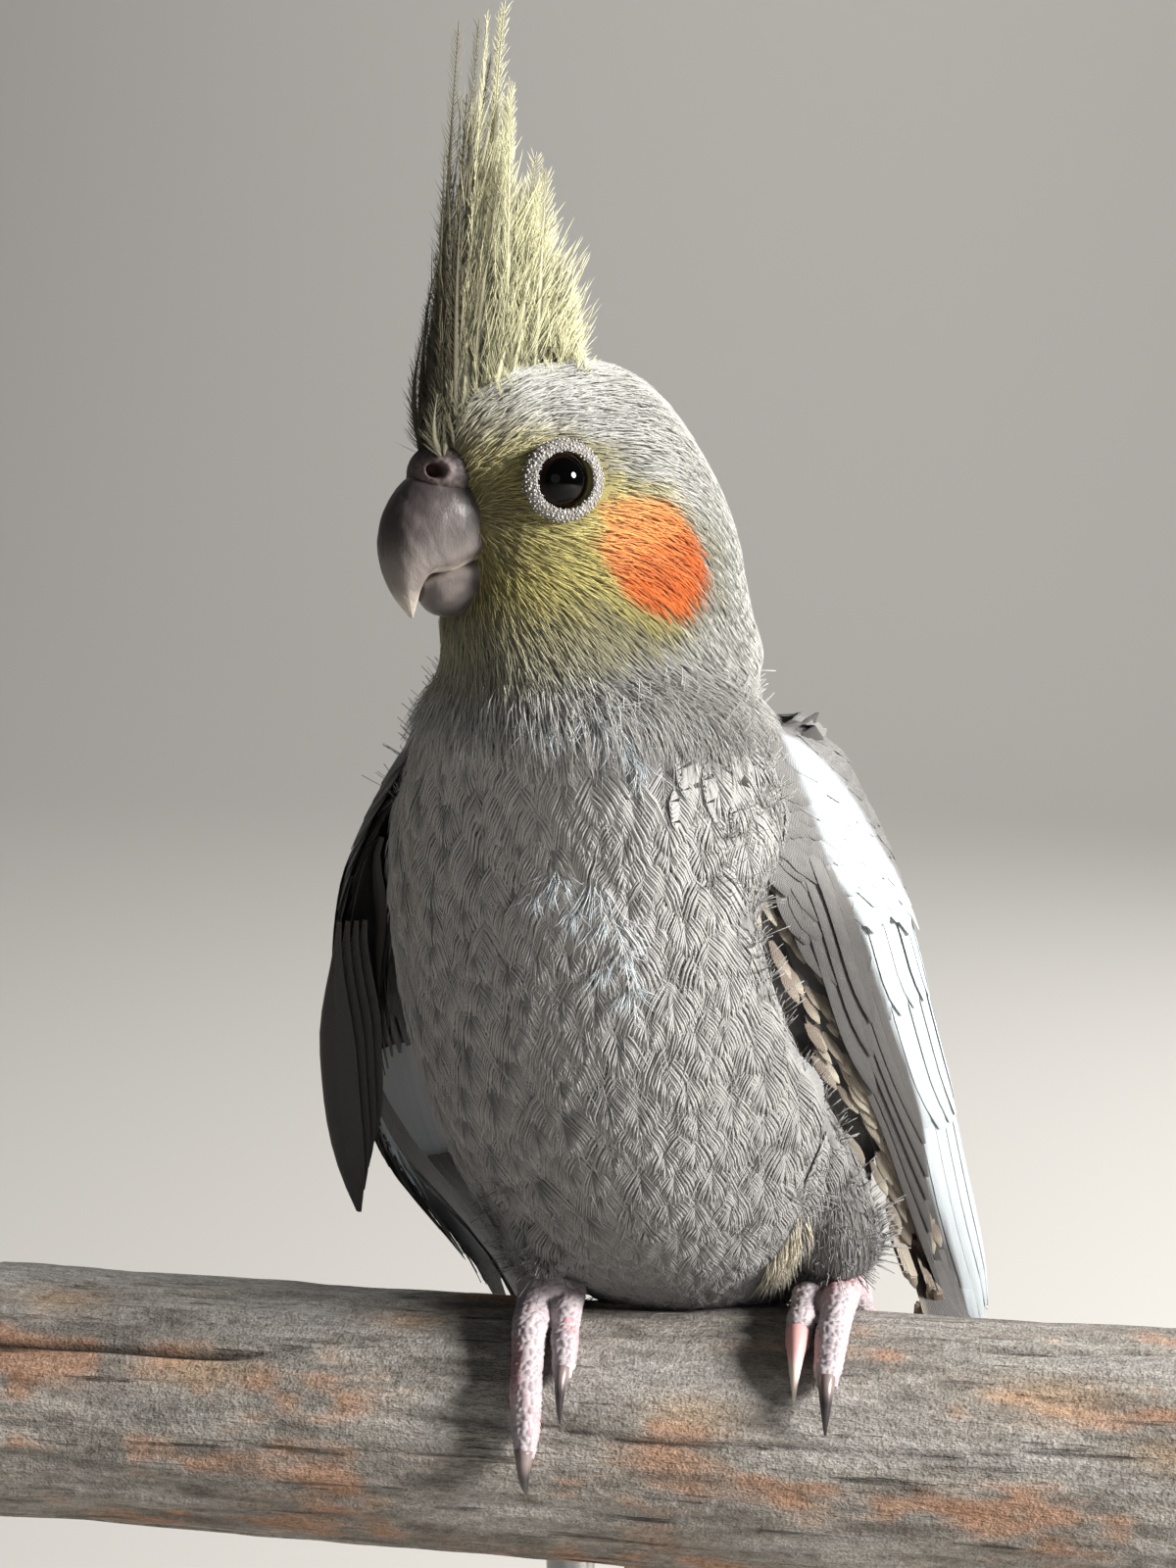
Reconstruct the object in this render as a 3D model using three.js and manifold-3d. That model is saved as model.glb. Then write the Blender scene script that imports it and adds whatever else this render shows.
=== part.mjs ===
// A life-size grey cockatiel perched on a short cut log, on a flat display base with two short rods.
// Millimetres, +Z up. The origin is the middle of the underside of the base.
// The bird faces -Y with its head turned to its own right, so its left side is +X.
import * as THREE from 'three';
import { mergeVertices } from 'three/addons/utils/BufferGeometryUtils.js';
import Module from 'manifold-3d';

const wasm = await Module();
wasm.setup();

// Driving dimensions
const GAP = 0.3; // clearance between pieces that touch
const PERCH_TOP = 160; // height of the top of the log above the floor
const PERCH_RADIUS = 17;
const PERCH_FROM = -95;
const PERCH_TO = 81;
const BASE_SIZE = [136, 124, 11];
const BASE_CORNER = 14;
const BASE_BEVEL = 1.5;
const ROD_RADIUS = 3.2;
const ROD_PLACES = [-14, 16];
// Feet: place along the log, how far round it the ball of the foot stands, and how far round it
// each toe reaches, in degrees from the top towards the front
const FEET = {
  right: { x: -16.2, ball: 6, inner_front: 49, outer_front: 79, inner_back: -44, outer_back: -66 },
  left: { x: 19.9, ball: -12, inner_front: 35, outer_front: 47, inner_back: -60, outer_back: -80 },
};
const EYE_RADIUS = 3.9;
const EYE_SIDE = 9.4; // distance of an eyeball's centre from the middle of the head
const TAIL_LENGTH = 150;

// Pose: the eye station on the middle plane of the head, and the way that the bill points
const HEAD_TURN = 54; // degrees from straight ahead, to the bird's right
const HEAD_AT = new THREE.Vector3(-16.3, -21.1, 106.8);
const TAIL_ROOT = new THREE.Vector3(1.5, 24, -11);
const TAIL_DROP = 65; // degrees below level

const colours = {
  grey: 0x8d8781,
  face: 0xa39a6c,
  dark: 0x4a4744,
  bill: 0x57505a,
  cere: 0x8c7a7b,
  eye: 0x120c0a,
  skin: 0xc9a39b,
  claw: 0x3a3536,
  wood: 0x8f8678,
  stand: 0xd8d2c6,
};

const model = new THREE.Group();
const bird = new THREE.Group();
bird.position.z = PERCH_TOP;
model.add(bird);

const vec = (x, y, z) => new THREE.Vector3(x, y, z);
const mix = (a, b, t) => a + (b - a) * t;
const rad = THREE.MathUtils.degToRad;
const smooth = THREE.MathUtils.smoothstep;

// A repeatable run of draws between 0 and 1
function seeded(seed) {
  let state = seed;
  return () => {
    state = (state * 1664525 + 1013904223) % 4294967296;
    return state / 4294967296;
  };
}

// A closed mesh from points and faces, turned so that its faces point out
function closed(points, faces) {
  const position = new Float32Array(points.flatMap((p) => [p.x, p.y, p.z]));
  let volume = 0;
  for (const [a, b, c] of faces) {
    volume += points[a].dot(points[b].clone().cross(points[c]));
  }
  const index = volume < 0 ? faces.flatMap(([a, b, c]) => [a, c, b]) : faces.flat();
  const geometry = new THREE.BufferGeometry();
  geometry.setAttribute('position', new THREE.BufferAttribute(position, 3));
  geometry.setIndex(index);
  return geometry;
}

// Rings of equal count joined into one closed skin, with both ends fanned shut
function loft(rings) {
  const count = rings[0].length;
  const points = rings.flat();
  const faces = [];
  for (let r = 0; r + 1 < rings.length; r++) {
    for (let k = 0; k < count; k++) {
      const a = r * count + k;
      const b = r * count + ((k + 1) % count);
      faces.push([a, b, b + count], [a, b + count, a + count]);
    }
  }
  const ends = [rings[0], rings[rings.length - 1]];
  ends.forEach((ring, end) => {
    const middle = ring.reduce((sum, p) => sum.add(p), vec(0, 0, 0)).divideScalar(count);
    const centre = points.push(middle) - 1;
    const first = end === 0 ? 0 : (rings.length - 1) * count;
    for (let k = 0; k < count; k++) {
      const a = first + k;
      const b = first + ((k + 1) % count);
      faces.push(end === 0 ? [b, a, centre] : [a, b, centre]);
    }
  });
  return closed(points, faces);
}

// A feather is a thin closed blade, alike on both faces. path gives its rachis from root to tip,
// across the way of its width, and width its half width at each stop.
const STOPS = [0, 0.28, 0.58, 0.84, 1];
const SHORT_STOPS = [0, 0.36, 0.8, 1];
const VANE_THICK = 0.55;

function feather({ path, across, width, thick = VANE_THICK, stops = STOPS }) {
  const tops = [];
  const lows = [];
  for (const t of stops) {
    const at = path(t);
    const ahead = path(Math.min(1, t + 0.02)).sub(path(Math.max(0, t - 0.02))).normalize();
    const side = across(t);
    side.addScaledVector(ahead, -side.dot(ahead)).normalize();
    const normal = ahead.clone().cross(side);
    for (const s of [-1, 1]) {
      const spot = at.clone().addScaledVector(side, s * width(t));
      tops.push(spot.clone().addScaledVector(normal, thick / 2));
      lows.push(spot.clone().addScaledVector(normal, -thick / 2));
    }
  }
  const layer = tops.length;
  const faces = [];
  const wall = (a, b) => faces.push([a, a + layer, b + layer], [a, b + layer, b]);
  for (let a = 0; a + 2 < layer; a += 2) {
    faces.push([a, a + 1, a + 3], [a, a + 3, a + 2]);
    const b = a + layer;
    faces.push([b, b + 3, b + 1], [b, b + 2, b + 3]);
    wall(a + 2, a);
    wall(a + 1, a + 3);
  }
  wall(0, 1);
  wall(layer - 1, layer - 2);
  return closed([...tops, ...lows], faces);
}

// Half width of a flight feather: a narrow quill, a long even blade and a rounded tip
function vaneWidth(widest, tip = 0.34) {
  return (t) => widest * mix(0.34, 1, smooth(t, 0, 0.3)) * mix(1, tip, smooth(t, 0.72, 1) ** 1.3);
}

// Joining and cutting
function solid(geometry) {
  const bare = geometry.clone();
  bare.deleteAttribute('normal');
  bare.deleteAttribute('uv');
  const whole = mergeVertices(bare, 1e-4);
  return new wasm.Manifold(new wasm.Mesh({
    numProp: 3,
    vertProperties: new Float32Array(whole.attributes.position.array),
    triVerts: new Uint32Array(whole.index.array),
  }));
}

function join(pieces) {
  return pieces.slice(1).reduce((sum, piece) => sum.add(piece), pieces[0]);
}

function largest(body) {
  return body.decompose().reduce((best, piece) => (piece.volume() > best.volume() ? piece : best));
}

function geometryOf(body) {
  const mesh = largest(body).getMesh();
  const geometry = new THREE.BufferGeometry();
  geometry.setAttribute('position', new THREE.BufferAttribute(new Float32Array(mesh.vertProperties), 3));
  geometry.setIndex(new THREE.BufferAttribute(new Uint32Array(mesh.triVerts), 1));
  return geometry;
}

function place(name, geometry, colour, roughness = 0.8, group = bird) {
  geometry.computeVertexNormals();
  const material = new THREE.MeshStandardMaterial({ color: colour, roughness, metalness: 0 });
  const mesh = new THREE.Mesh(geometry, material);
  mesh.name = name;
  group.add(mesh);
}

// A large box on one side of a plane, for parting the body with thin cuts
function halfSpace(point, normal, from = 0) {
  const size = 400;
  const box = new THREE.BoxGeometry(size, size, size);
  box.translate(0, 0, size / 2 + from);
  const turn = new THREE.Quaternion().setFromUnitVectors(vec(0, 0, 1), normal.clone().normalize());
  box.applyQuaternion(turn);
  box.translate(point.x, point.y, point.z);
  return solid(box);
}

// Head frame: f is forward along the bill, side is to the bird's left, and u is up
const forward = vec(-Math.sin(rad(HEAD_TURN)), -Math.cos(rad(HEAD_TURN)), 0);
const leftward = vec(0, 0, 1).cross(forward);
const onHead = (f, side, u) => HEAD_AT.clone()
  .addScaledVector(forward, f).addScaledVector(leftward, side).add(vec(0, 0, u));

// Egg-shaped section across the body: front and back reach differ, and the sides match
function section(centre, ahead, aside, front, back, side, count, power = 2, turn = 0) {
  const ring = [];
  for (let k = 0; k < count; k++) {
    const angle = (k / count) * Math.PI * 2 + turn;
    const c = Math.cos(angle);
    const s = Math.sin(angle);
    const reach = Math.sign(c) * Math.abs(c) ** (2 / power) * (c > 0 ? front : back);
    const spread = Math.sign(s) * Math.abs(s) ** (2 / power) * side;
    ring.push(centre.clone().addScaledVector(ahead, reach).addScaledVector(aside, spread));
  }
  return ring;
}

// Head and throat: height over the eye, reach forward and back of the eye, and half width
const headSections = [
  { u: 13.3, front: -2.0, back: -7.0, side: 2.2 },
  { u: 12.4, front: 3.6, back: -11.6, side: 6.4 },
  { u: 10.4, front: 7.8, back: -15.8, side: 9.6 },
  { u: 7.2, front: 11.2, back: -19.4, side: 11.9 },
  { u: 3.2, front: 11.6, back: -22.7, side: 13.1 },
  { u: -1.5, front: 9.6, back: -25.6, side: 13.7 },
  { u: -6.5, front: 8.2, back: -27.8, side: 14.0 },
  { u: -11.5, front: 8.4, back: -29.0, side: 14.2 },
  { u: -16.0, front: 9.7, back: -30.0, side: 14.6 },
  { u: -21.0, front: 9.0, back: -31.6, side: 15.8 },
];
// Neck and trunk: centre line, turn of the section, lean of its plane, and reach each way
const trunkSections = [
  { at: [-7.2, -13.6, 80], turn: 38, lean: 6, front: 18.2, back: 17.4, side: 20.4 },
  { at: [-8.2, -11.4, 73], turn: 22, lean: 12, front: 20, back: 17.5, side: 25.4 },
  { at: [-8.4, -8.4, 64], turn: 12, lean: 15, front: 22, back: 18.5, side: 28.4 },
  { at: [-6.9, -5.0, 52], turn: 8, lean: 16, front: 24, back: 19.5, side: 29.8 },
  { at: [-5.5, -1.6, 39], turn: 6, lean: 18, front: 24.4, back: 20, side: 29.8 },
  { at: [-4.2, 2.8, 26], turn: 5, lean: 22, front: 23, back: 19.6, side: 28 },
  { at: [-2.8, 8.0, 14], turn: 4, lean: 27, front: 18.5, back: 18, side: 25 },
  { at: [-0.8, 13.4, 4.5], turn: 3, lean: 31, front: 13, back: 15, side: 19.6 },
  { at: [0.7, 18.6, -3], turn: 2, lean: 33, front: 8.5, back: 11.5, side: 14 },
  { at: [1.5, 22.2, -9], turn: 0, lean: 29, front: 6.2, back: 8.2, side: 10.4 },
  { at: [1.5, 26.6, -19], turn: 0, lean: 25, front: 5.4, back: 6.2, side: 9.8 },
  { at: [1.5, 31.6, -30], turn: 0, lean: 25, front: 4.4, back: 4.6, side: 8.8 },
];
const HEAD_CENTRE = -10; // the sections of the head are centred this far behind the eye
const BODY_SIDES = 22;

function bodyForm(grow = 0) {
  const rings = headSections.map(({ u, front, back, side }) => {
    const narrow = front - HEAD_CENTRE;
    const wide = HEAD_CENTRE - back;
    const power = mix(2, 2.25, smooth(-u, -8, 6));
    return section(onHead(HEAD_CENTRE, 0, u), forward, leftward, narrow + grow, wide + grow,
      side + grow, BODY_SIDES, power, rad(HEAD_TURN));
  });
  for (const { at, turn, lean, front, back, side } of trunkSections) {
    const aside = vec(Math.cos(rad(turn)), -Math.sin(rad(turn)), 0);
    const ahead = vec(-Math.sin(rad(turn)), -Math.cos(rad(turn)), 0);
    ahead.multiplyScalar(Math.cos(rad(lean))).add(vec(0, 0, -Math.sin(rad(lean))));
    rings.push(section(vec(...at), ahead, aside, front + grow, back + grow, side + grow, BODY_SIDES, 2.1,
      rad(turn)));
  }
  return loft(rings);
}

// Perch: a cut length of log, slightly uneven round and along
function perchRadius(x, angle) {
  const swell = 0.35 * Math.sin(x / 21 + 1) + 0.25 * Math.sin(x / 9);
  return PERCH_RADIUS + swell * 0.6 + 0.3 * Math.sin(3 * angle + x / 30);
}

// A point over the log: angle is from the top towards the front, and out is height over the bark
function overPerch(x, angle, out) {
  const reach = perchRadius(x, angle) + out;
  return vec(x, -Math.sin(angle) * reach, Math.cos(angle) * reach - PERCH_RADIUS);
}

function perchForm(grow = 0) {
  const stations = 10;
  const sides = 22;
  const rings = [];
  for (let i = 0; i <= stations; i++) {
    const x = mix(PERCH_FROM, PERCH_TO, i / stations);
    const ring = [];
    for (let k = 0; k < sides; k++) {
      ring.push(overPerch(x, (k / sides) * Math.PI * 2, grow));
    }
    rings.push(ring);
  }
  return loft(rings);
}

function makePerch() {
  place('perch', perchForm(), colours.wood, 0.95);
}

// Display stand: a flat base with rounded corners, and two rods up to the log
function makeStand() {
  const [width, depth, height] = BASE_SIZE;
  const outline = new THREE.Shape();
  const x = width / 2 - BASE_CORNER;
  const y = depth / 2 - BASE_CORNER;
  outline.absarc(x, y, BASE_CORNER - BASE_BEVEL, 0, Math.PI / 2);
  outline.absarc(-x, y, BASE_CORNER - BASE_BEVEL, Math.PI / 2, Math.PI);
  outline.absarc(-x, -y, BASE_CORNER - BASE_BEVEL, Math.PI, Math.PI * 1.5);
  outline.absarc(x, -y, BASE_CORNER - BASE_BEVEL, Math.PI * 1.5, Math.PI * 2);
  outline.closePath();
  const base = new THREE.ExtrudeGeometry(outline, {
    depth: height - 2 * BASE_BEVEL,
    bevelSize: BASE_BEVEL,
    bevelThickness: BASE_BEVEL,
    bevelSegments: 1,
    curveSegments: 3,
  });
  base.translate(0, 0, BASE_BEVEL);
  place('stand_base', geometryOf(solid(base)), colours.stand, 0.5, model);

  const log = solid(perchForm(GAP)).translate([0, 0, PERCH_TOP]);
  ROD_PLACES.forEach((place_x, i) => {
    const from = height + GAP;
    const to = PERCH_TOP - PERCH_RADIUS;
    const rod = new THREE.CylinderGeometry(ROD_RADIUS, ROD_RADIUS, to - from, 20);
    rod.rotateX(Math.PI / 2);
    rod.translate(place_x, 0, (from + to) / 2);
    const name = i === 0 ? 'stand_rod_right' : 'stand_rod_left';
    place(name, geometryOf(solid(rod).subtract(log)), colours.stand, 0.5, model);
  });
}

// Bill: the ridge of the upper bill and its cutting edge, as f and u on the middle plane
const ridge = [[7, 1], [13.2, 0.6], [16.2, -2.6], [17.3, -6.4], [17.0, -10], [15.8, -13], [13.9, -15.4]];
const edge = [[1, -8.6], [5.9, -9], [9.6, -10.4], [12, -10.6], [13, -12.2], [13.3, -13.8], [13.6, -15.6]];
const billHalfWidth = [5.6, 5.5, 4.9, 4.0, 2.9, 1.8, 0.45];

function upperBill(grow = 0) {
  const count = 12;
  const rings = ridge.map(([topF, topU], i) => {
    const [lowF, lowU] = edge[i];
    const middle = vec((topF + lowF) / 2, 0, (topU + lowU) / 2);
    const reach = vec((topF - lowF) / 2, 0, (topU - lowU) / 2);
    const half = reach.length();
    const ring = [];
    for (let k = 0; k < count; k++) {
      const angle = (k / count) * Math.PI * 2;
      const c = Math.cos(angle) * (1 + grow / half);
      const pinch = 1 - 0.18 * smooth(-Math.cos(angle), 0.2, 1);
      const s = Math.sin(angle) * (billHalfWidth[i] + grow) * pinch;
      ring.push(onHead(middle.x + reach.x * c, s, middle.z + reach.z * c));
    }
    return ring;
  });
  return loft(rings);
}

function lowerBill(grow = 0) {
  const sections = [
    { f: 2, u: -11.8, high: 2.4, side: 4.8 },
    { f: 6, u: -12.4, high: 2.8, side: 4.9 },
    { f: 9, u: -13.0, high: 2.6, side: 4.2 },
    { f: 11.4, u: -13.0, high: 1.8, side: 3.0 },
    { f: 12.5, u: -12.6, high: 0.8, side: 1.7 },
  ];
  const rings = sections.map(({ f, u, high, side }) => {
    const ring = [];
    for (let k = 0; k < 12; k++) {
      const angle = (k / 12) * Math.PI * 2;
      ring.push(onHead(f, Math.cos(angle) * (side + grow), u + Math.sin(angle) * (high + grow)));
    }
    return ring;
  });
  return loft(rings);
}

// Cere: the soft saddle over the root of the bill, with a nostril on each side
function cereForm(grow = 0) {
  const ball = new THREE.SphereGeometry(1, 12, 7);
  ball.scale(4.4 + grow, 5.3 + grow, 3.7 + grow);
  ball.rotateY(rad(20));
  ball.rotateZ(Math.atan2(forward.y, forward.x));
  const at = onHead(9.4, 0, 0.9);
  ball.translate(at.x, at.y, at.z);
  return ball;
}

// A ball with its poles to the left and right of the head
function ballAt(at, radius, across, down) {
  const ball = new THREE.SphereGeometry(radius, across, down);
  ball.rotateZ(Math.atan2(leftward.y, leftward.x) - Math.PI / 2);
  ball.translate(at.x, at.y, at.z);
  return ball;
}

function eyeAt(side) {
  return onHead(0, side * EYE_SIDE, 0);
}

function makeBill() {
  const upper = solid(upperBill());
  place('bill_upper', geometryOf(upper), colours.bill, 0.45);
  const upperRoom = solid(upperBill(GAP));
  place('bill_lower', geometryOf(solid(lowerBill()).subtract(upperRoom)), colours.bill, 0.5);
  let cere = solid(cereForm()).subtract(upperRoom);
  for (const side of [-1, 1]) {
    cere = cere.subtract(solid(ballAt(onHead(10.7, side * 4.6, 1.6), 1.0, 7, 5)));
  }
  place('cere', geometryOf(cere), colours.cere, 0.6);
}

function makeEyes() {
  for (const [name, side] of [['eye_left', 1], ['eye_right', -1]]) {
    place(name, ballAt(eyeAt(side), EYE_RADIUS, 12, 7), colours.eye, 0.05);
  }
}

// Ring of granular lids round an eye
function lidRing(side) {
  const ring = new THREE.TorusGeometry(3.75, 0.75, 5, 12);
  ring.rotateY(Math.PI / 2);
  ring.rotateZ(Math.atan2(leftward.y, leftward.x));
  const at = onHead(0, side * 12.0, 0);
  ring.translate(at.x, at.y, at.z);
  return ring;
}

// Planes of the thin cuts that part the body
const crownCut = { point: onHead(13, 0, 5.0), normal: vec(0, 0, 0) };
crownCut.normal = vec(0, 0, 1).addScaledVector(forward, 0.235);
const headCut = { point: vec(0, 0, 85), normal: vec(0, 0, 1) };
const neckCut = { point: vec(-6, -11, 73.5), normal: vec(0.02, -0.2, 1) };
const tailCut = { point: TAIL_ROOT.clone(), normal: vec(0, -0.46, 0.88) };

const above = (cut) => halfSpace(cut.point, cut.normal, GAP / 2);
const below = (cut) => halfSpace(cut.point, cut.normal.clone().negate(), GAP / 2);

// Two toes forward and two back, each wrapped round the log: place beside the middle of the foot
// at the root and at the claw, counted away from the other foot
const toes = [
  { name: 'inner_front', root: -2.6, tip: -3.6, thick: 0.86 },
  { name: 'outer_front', root: 1.6, tip: 0.4, thick: 1 },
  { name: 'inner_back', root: -2.2, tip: -4.6, thick: 0.8 },
  { name: 'outer_back', root: 2.2, tip: 4.4, thick: 0.95 },
];
const TOE_RADIUS = 2.45;
const CLAW_SWEEP = 17; // degrees of the log's round that a claw spans

function toeLine(foot, toe, footSide, t) {
  const angle = rad(mix(foot.ball, foot[toe.name], t));
  const x = foot.x + footSide * mix(toe.root, toe.tip, smooth(t, 0, 1));
  return { x, angle, out: vec(0, -Math.sin(angle), Math.cos(angle)) };
}

function tubeRing(centre, out, wide, high, count) {
  const ring = [];
  for (let k = 0; k < count; k++) {
    const turn = (k / count) * Math.PI * 2;
    ring.push(centre.clone().add(vec(Math.cos(turn) * wide, 0, 0))
      .addScaledVector(out, Math.sin(turn) * high));
  }
  return ring;
}

function toeForm(foot, toe, footSide, grow = 0) {
  const stations = 5;
  const rings = [];
  for (let i = 0; i <= stations; i++) {
    const t = i / stations;
    const { x, angle, out } = toeLine(foot, toe, footSide, t);
    const knuckle = 0.14 * Math.cos(t * Math.PI * 6);
    const radius = (TOE_RADIUS * mix(1.04, 0.72, t) + knuckle) * toe.thick;
    const thick = radius * (i === stations ? 0.62 : 1) + grow;
    rings.push(tubeRing(overPerch(x, angle, GAP + radius), out, thick, thick * 0.95, 7));
  }
  return loft(rings);
}

function clawForm(foot, toe, footSide, grow = 0) {
  const stations = 3;
  const rings = [];
  const tipRadius = TOE_RADIUS * 0.72 * toe.thick;
  const sweep = rad(CLAW_SWEEP) * Math.sign(foot[toe.name]);
  for (let i = 0; i <= stations; i++) {
    const t = i / stations;
    const { x, angle } = toeLine(foot, toe, footSide, 1);
    const along = angle + sweep * mix(-0.12, 1, t);
    const thick = mix(1.25, 0.25, t ** 1.2) * toe.thick;
    const lift = mix(tipRadius * 1.25, 0.4, t * t) + Math.sin(t * Math.PI) * 0.7;
    const out = vec(0, -Math.sin(along), Math.cos(along));
    rings.push(tubeRing(overPerch(x, along, GAP + lift), out, thick * 0.8 + grow, thick + grow, 5));
  }
  return loft(rings);
}

// A short stack of level sections, for the foot and the feathered leg
function levelForm(path, grow, count) {
  return loft(path.map(({ at, wide, deep }) => section(at, vec(0, -1, 0), vec(1, 0, 0),
    deep + grow, deep + grow, wide + grow, count)));
}

// Ball of the foot with the short bare shank above it
function footForm(foot, grow = 0) {
  const low = overPerch(foot.x, rad(foot.ball), GAP + 1.2);
  const back = (z) => low.y + 0.22 * (z - low.z);
  return levelForm([
    { at: low, wide: 3.8, deep: 4.2 },
    { at: vec(foot.x, low.y, low.z + 2.4), wide: 3.9, deep: 4.3 },
    { at: vec(foot.x, back(7.5), 7.5), wide: 2.7, deep: 3.0 },
    { at: vec(foot.x * 0.97, back(13), 13), wide: 2.2, deep: 2.4 },
    { at: vec(foot.x * 0.93, back(20), 20), wide: 2.2, deep: 2.4 },
  ], grow, 10);
}

// Feathered thigh that the shank comes out of
function legForm(foot, grow = 0) {
  const { x } = foot;
  const y = overPerch(x, rad(foot.ball), 0).y;
  return levelForm([
    { at: vec(x * 0.8, y + 3.4, 27), wide: 8.4, deep: 9.4 },
    { at: vec(x * 0.92, y + 1.6, 20), wide: 9.6, deep: 10.6 },
    { at: vec(x * 0.99, y + 0.6, 13), wide: 8.8, deep: 9.8 },
    { at: vec(x * 1.02, y, 7.6), wide: 6.8, deep: 7.4 },
    { at: vec(x * 1.02, y - 0.3, 5.0), wide: 4.8, deep: 5.6 },
  ], grow, 13);
}

// Plain room for a foot, its toes and its claws, with a clearance round them
function footRoom(side) {
  const foot = FEET[side];
  const footSide = side === 'left' ? 1 : -1;
  const clear = TOE_RADIUS + 3 * GAP;
  const room = toes.map((toe) => solid(loft([0, 0.4, 0.8, 1.3].map((t) => {
    const { x, angle, out } = toeLine(foot, toe, footSide, t);
    return tubeRing(overPerch(x, angle, GAP + TOE_RADIUS), out, clear, clear, 6);
  }))));
  return join([solid(footForm(foot, GAP)), ...room]);
}

function makeFeet() {
  const log = solid(perchForm(GAP));
  for (const [side, foot] of Object.entries(FEET)) {
    const footSide = side === 'left' ? 1 : -1;
    place(`foot_${side}`, geometryOf(solid(footForm(foot)).subtract(log)), colours.skin, 0.7);
    const leg = solid(legForm(foot)).subtract(footRoom(side)).subtract(log);
    place(`leg_${side}`, geometryOf(leg), colours.grey);
    let taken = solid(footForm(foot, GAP));
    for (const toe of toes) {
      const form = solid(toeForm(foot, toe, footSide)).subtract(taken).subtract(log);
      const room = solid(toeForm(foot, toe, footSide, GAP));
      taken = taken.add(room);
      const name = `${side}_${toe.name}`;
      place(`toe_${name}`, geometryOf(form), colours.skin, 0.7);
      const claw = solid(clawForm(foot, toe, footSide)).subtract(room).subtract(log);
      place(`claw_${name}`, geometryOf(claw), colours.claw, 0.35);
    }
  }
}

// Wings: leading edge, widest line and trailing edge from the wrist to the tip
const curve = (points) => new THREE.CatmullRomCurve3(points.map((p) => vec(...p)));
const wings = {
  left: {
    lead: curve([[6.2, -24, 76], [11.8, -24.4, 61], [17.8, -17.4, 40], [24.6, 2.8, 18], [28.8, 22.6, -8],
      [29, 38, -36], [26, 50, -63]]),
    crest: curve([[19, -8.4, 80], [28.2, -3, 60.2], [33.8, 8, 39], [38.6, 20.2, 17], [42.8, 33, -9],
      [40, 45.6, -38], [30, 56, -66]]),
    trail: curve([[2.0, 6.4, 77.4], [6.6, 15, 57.4], [13.6, 26.4, 37.4], [21.6, 37, 15], [27, 46.2, -10],
      [27, 55, -39], [24, 60, -67]]),
  },
  right: {
    lead: curve([[-30, -19, 77], [-40.4, -12.5, 59], [-45.2, -3, 36], [-43.4, 11, 14], [-31, 21.5, -8],
      [-24.5, 35, -36], [-21.5, 47, -62]]),
    crest: curve([[-30, -3, 79], [-39.5, 4, 58], [-43, 14, 36], [-41, 26, 11], [-32, 34.5, -13],
      [-26.5, 45.5, -40], [-23.5, 53.5, -66]]),
    trail: curve([[-14, 8, 77], [-20, 17, 58], [-28, 28, 36], [-32, 38, 12], [-27, 46, -14],
      [-24, 53.5, -41], [-22, 58, -66]]),
  },
};

// A point of the folded wing: s from wrist to tip, and c from leading to trailing edge
function wingSpot(wing, s, c) {
  const lead = wing.lead.getPoint(s);
  const crest = wing.crest.getPoint(s);
  const trail = wing.trail.getPoint(s);
  const pull = crest.clone().multiplyScalar(2).addScaledVector(lead, -0.5).addScaledVector(trail, -0.5);
  return lead.multiplyScalar((1 - c) * (1 - c)).addScaledVector(pull, 2 * c * (1 - c))
    .addScaledVector(trail, c * c);
}

function wingNormal(wing, s, c) {
  const step = 0.01;
  const low = Math.max(0, s - step);
  const high = Math.min(1, s + step);
  const down = wingSpot(wing, high, c).sub(wingSpot(wing, low, c));
  const across = wingSpot(wing, s, c + step).sub(wingSpot(wing, s, c - step));
  const normal = down.cross(across).normalize();
  const outward = wingSpot(wing, s, 0.5).setZ(0).sub(vec(-1, 10, 0));
  return normal.dot(outward) < 0 ? normal.negate() : normal;
}

// The curves are the outside of the wing, and lifts count from a layer this far under it
const WING_DEPTH = 2.6;

function onWing(wing, s, c, lift) {
  return wingSpot(wing, s, c).addScaledVector(wingNormal(wing, s, c), lift - WING_DEPTH);
}

// Fleshy arm under the coverts: a flat form that follows the folded wing
const ARM = { reach: 0.38, thickTop: 2.6, thickEnd: 1 };

function armForm(wing) {
  const stations = 5;
  const count = 12;
  const rings = [];
  for (let i = 0; i <= stations; i++) {
    const t = i / stations;
    const s = mix(0.004, ARM.reach, t);
    const bulge = Math.sin(Math.PI * Math.min(1, t * 3 + 0.18) * 0.5);
    const thick = mix(ARM.thickTop, ARM.thickEnd, smooth(t, 0.1, 1)) * bulge;
    const spread = 0.5 * Math.sin(Math.PI * Math.min(1, t * 3 + 0.3) * 0.5);
    const ring = [];
    for (let k = 0; k < count; k++) {
      const angle = (k / count) * Math.PI * 2;
      const c = 0.5 + spread * Math.cos(angle);
      ring.push(onWing(wing, s, c, Math.sin(angle) * thick));
    }
    rings.push(ring);
  }
  return loft(rings);
}

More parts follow.
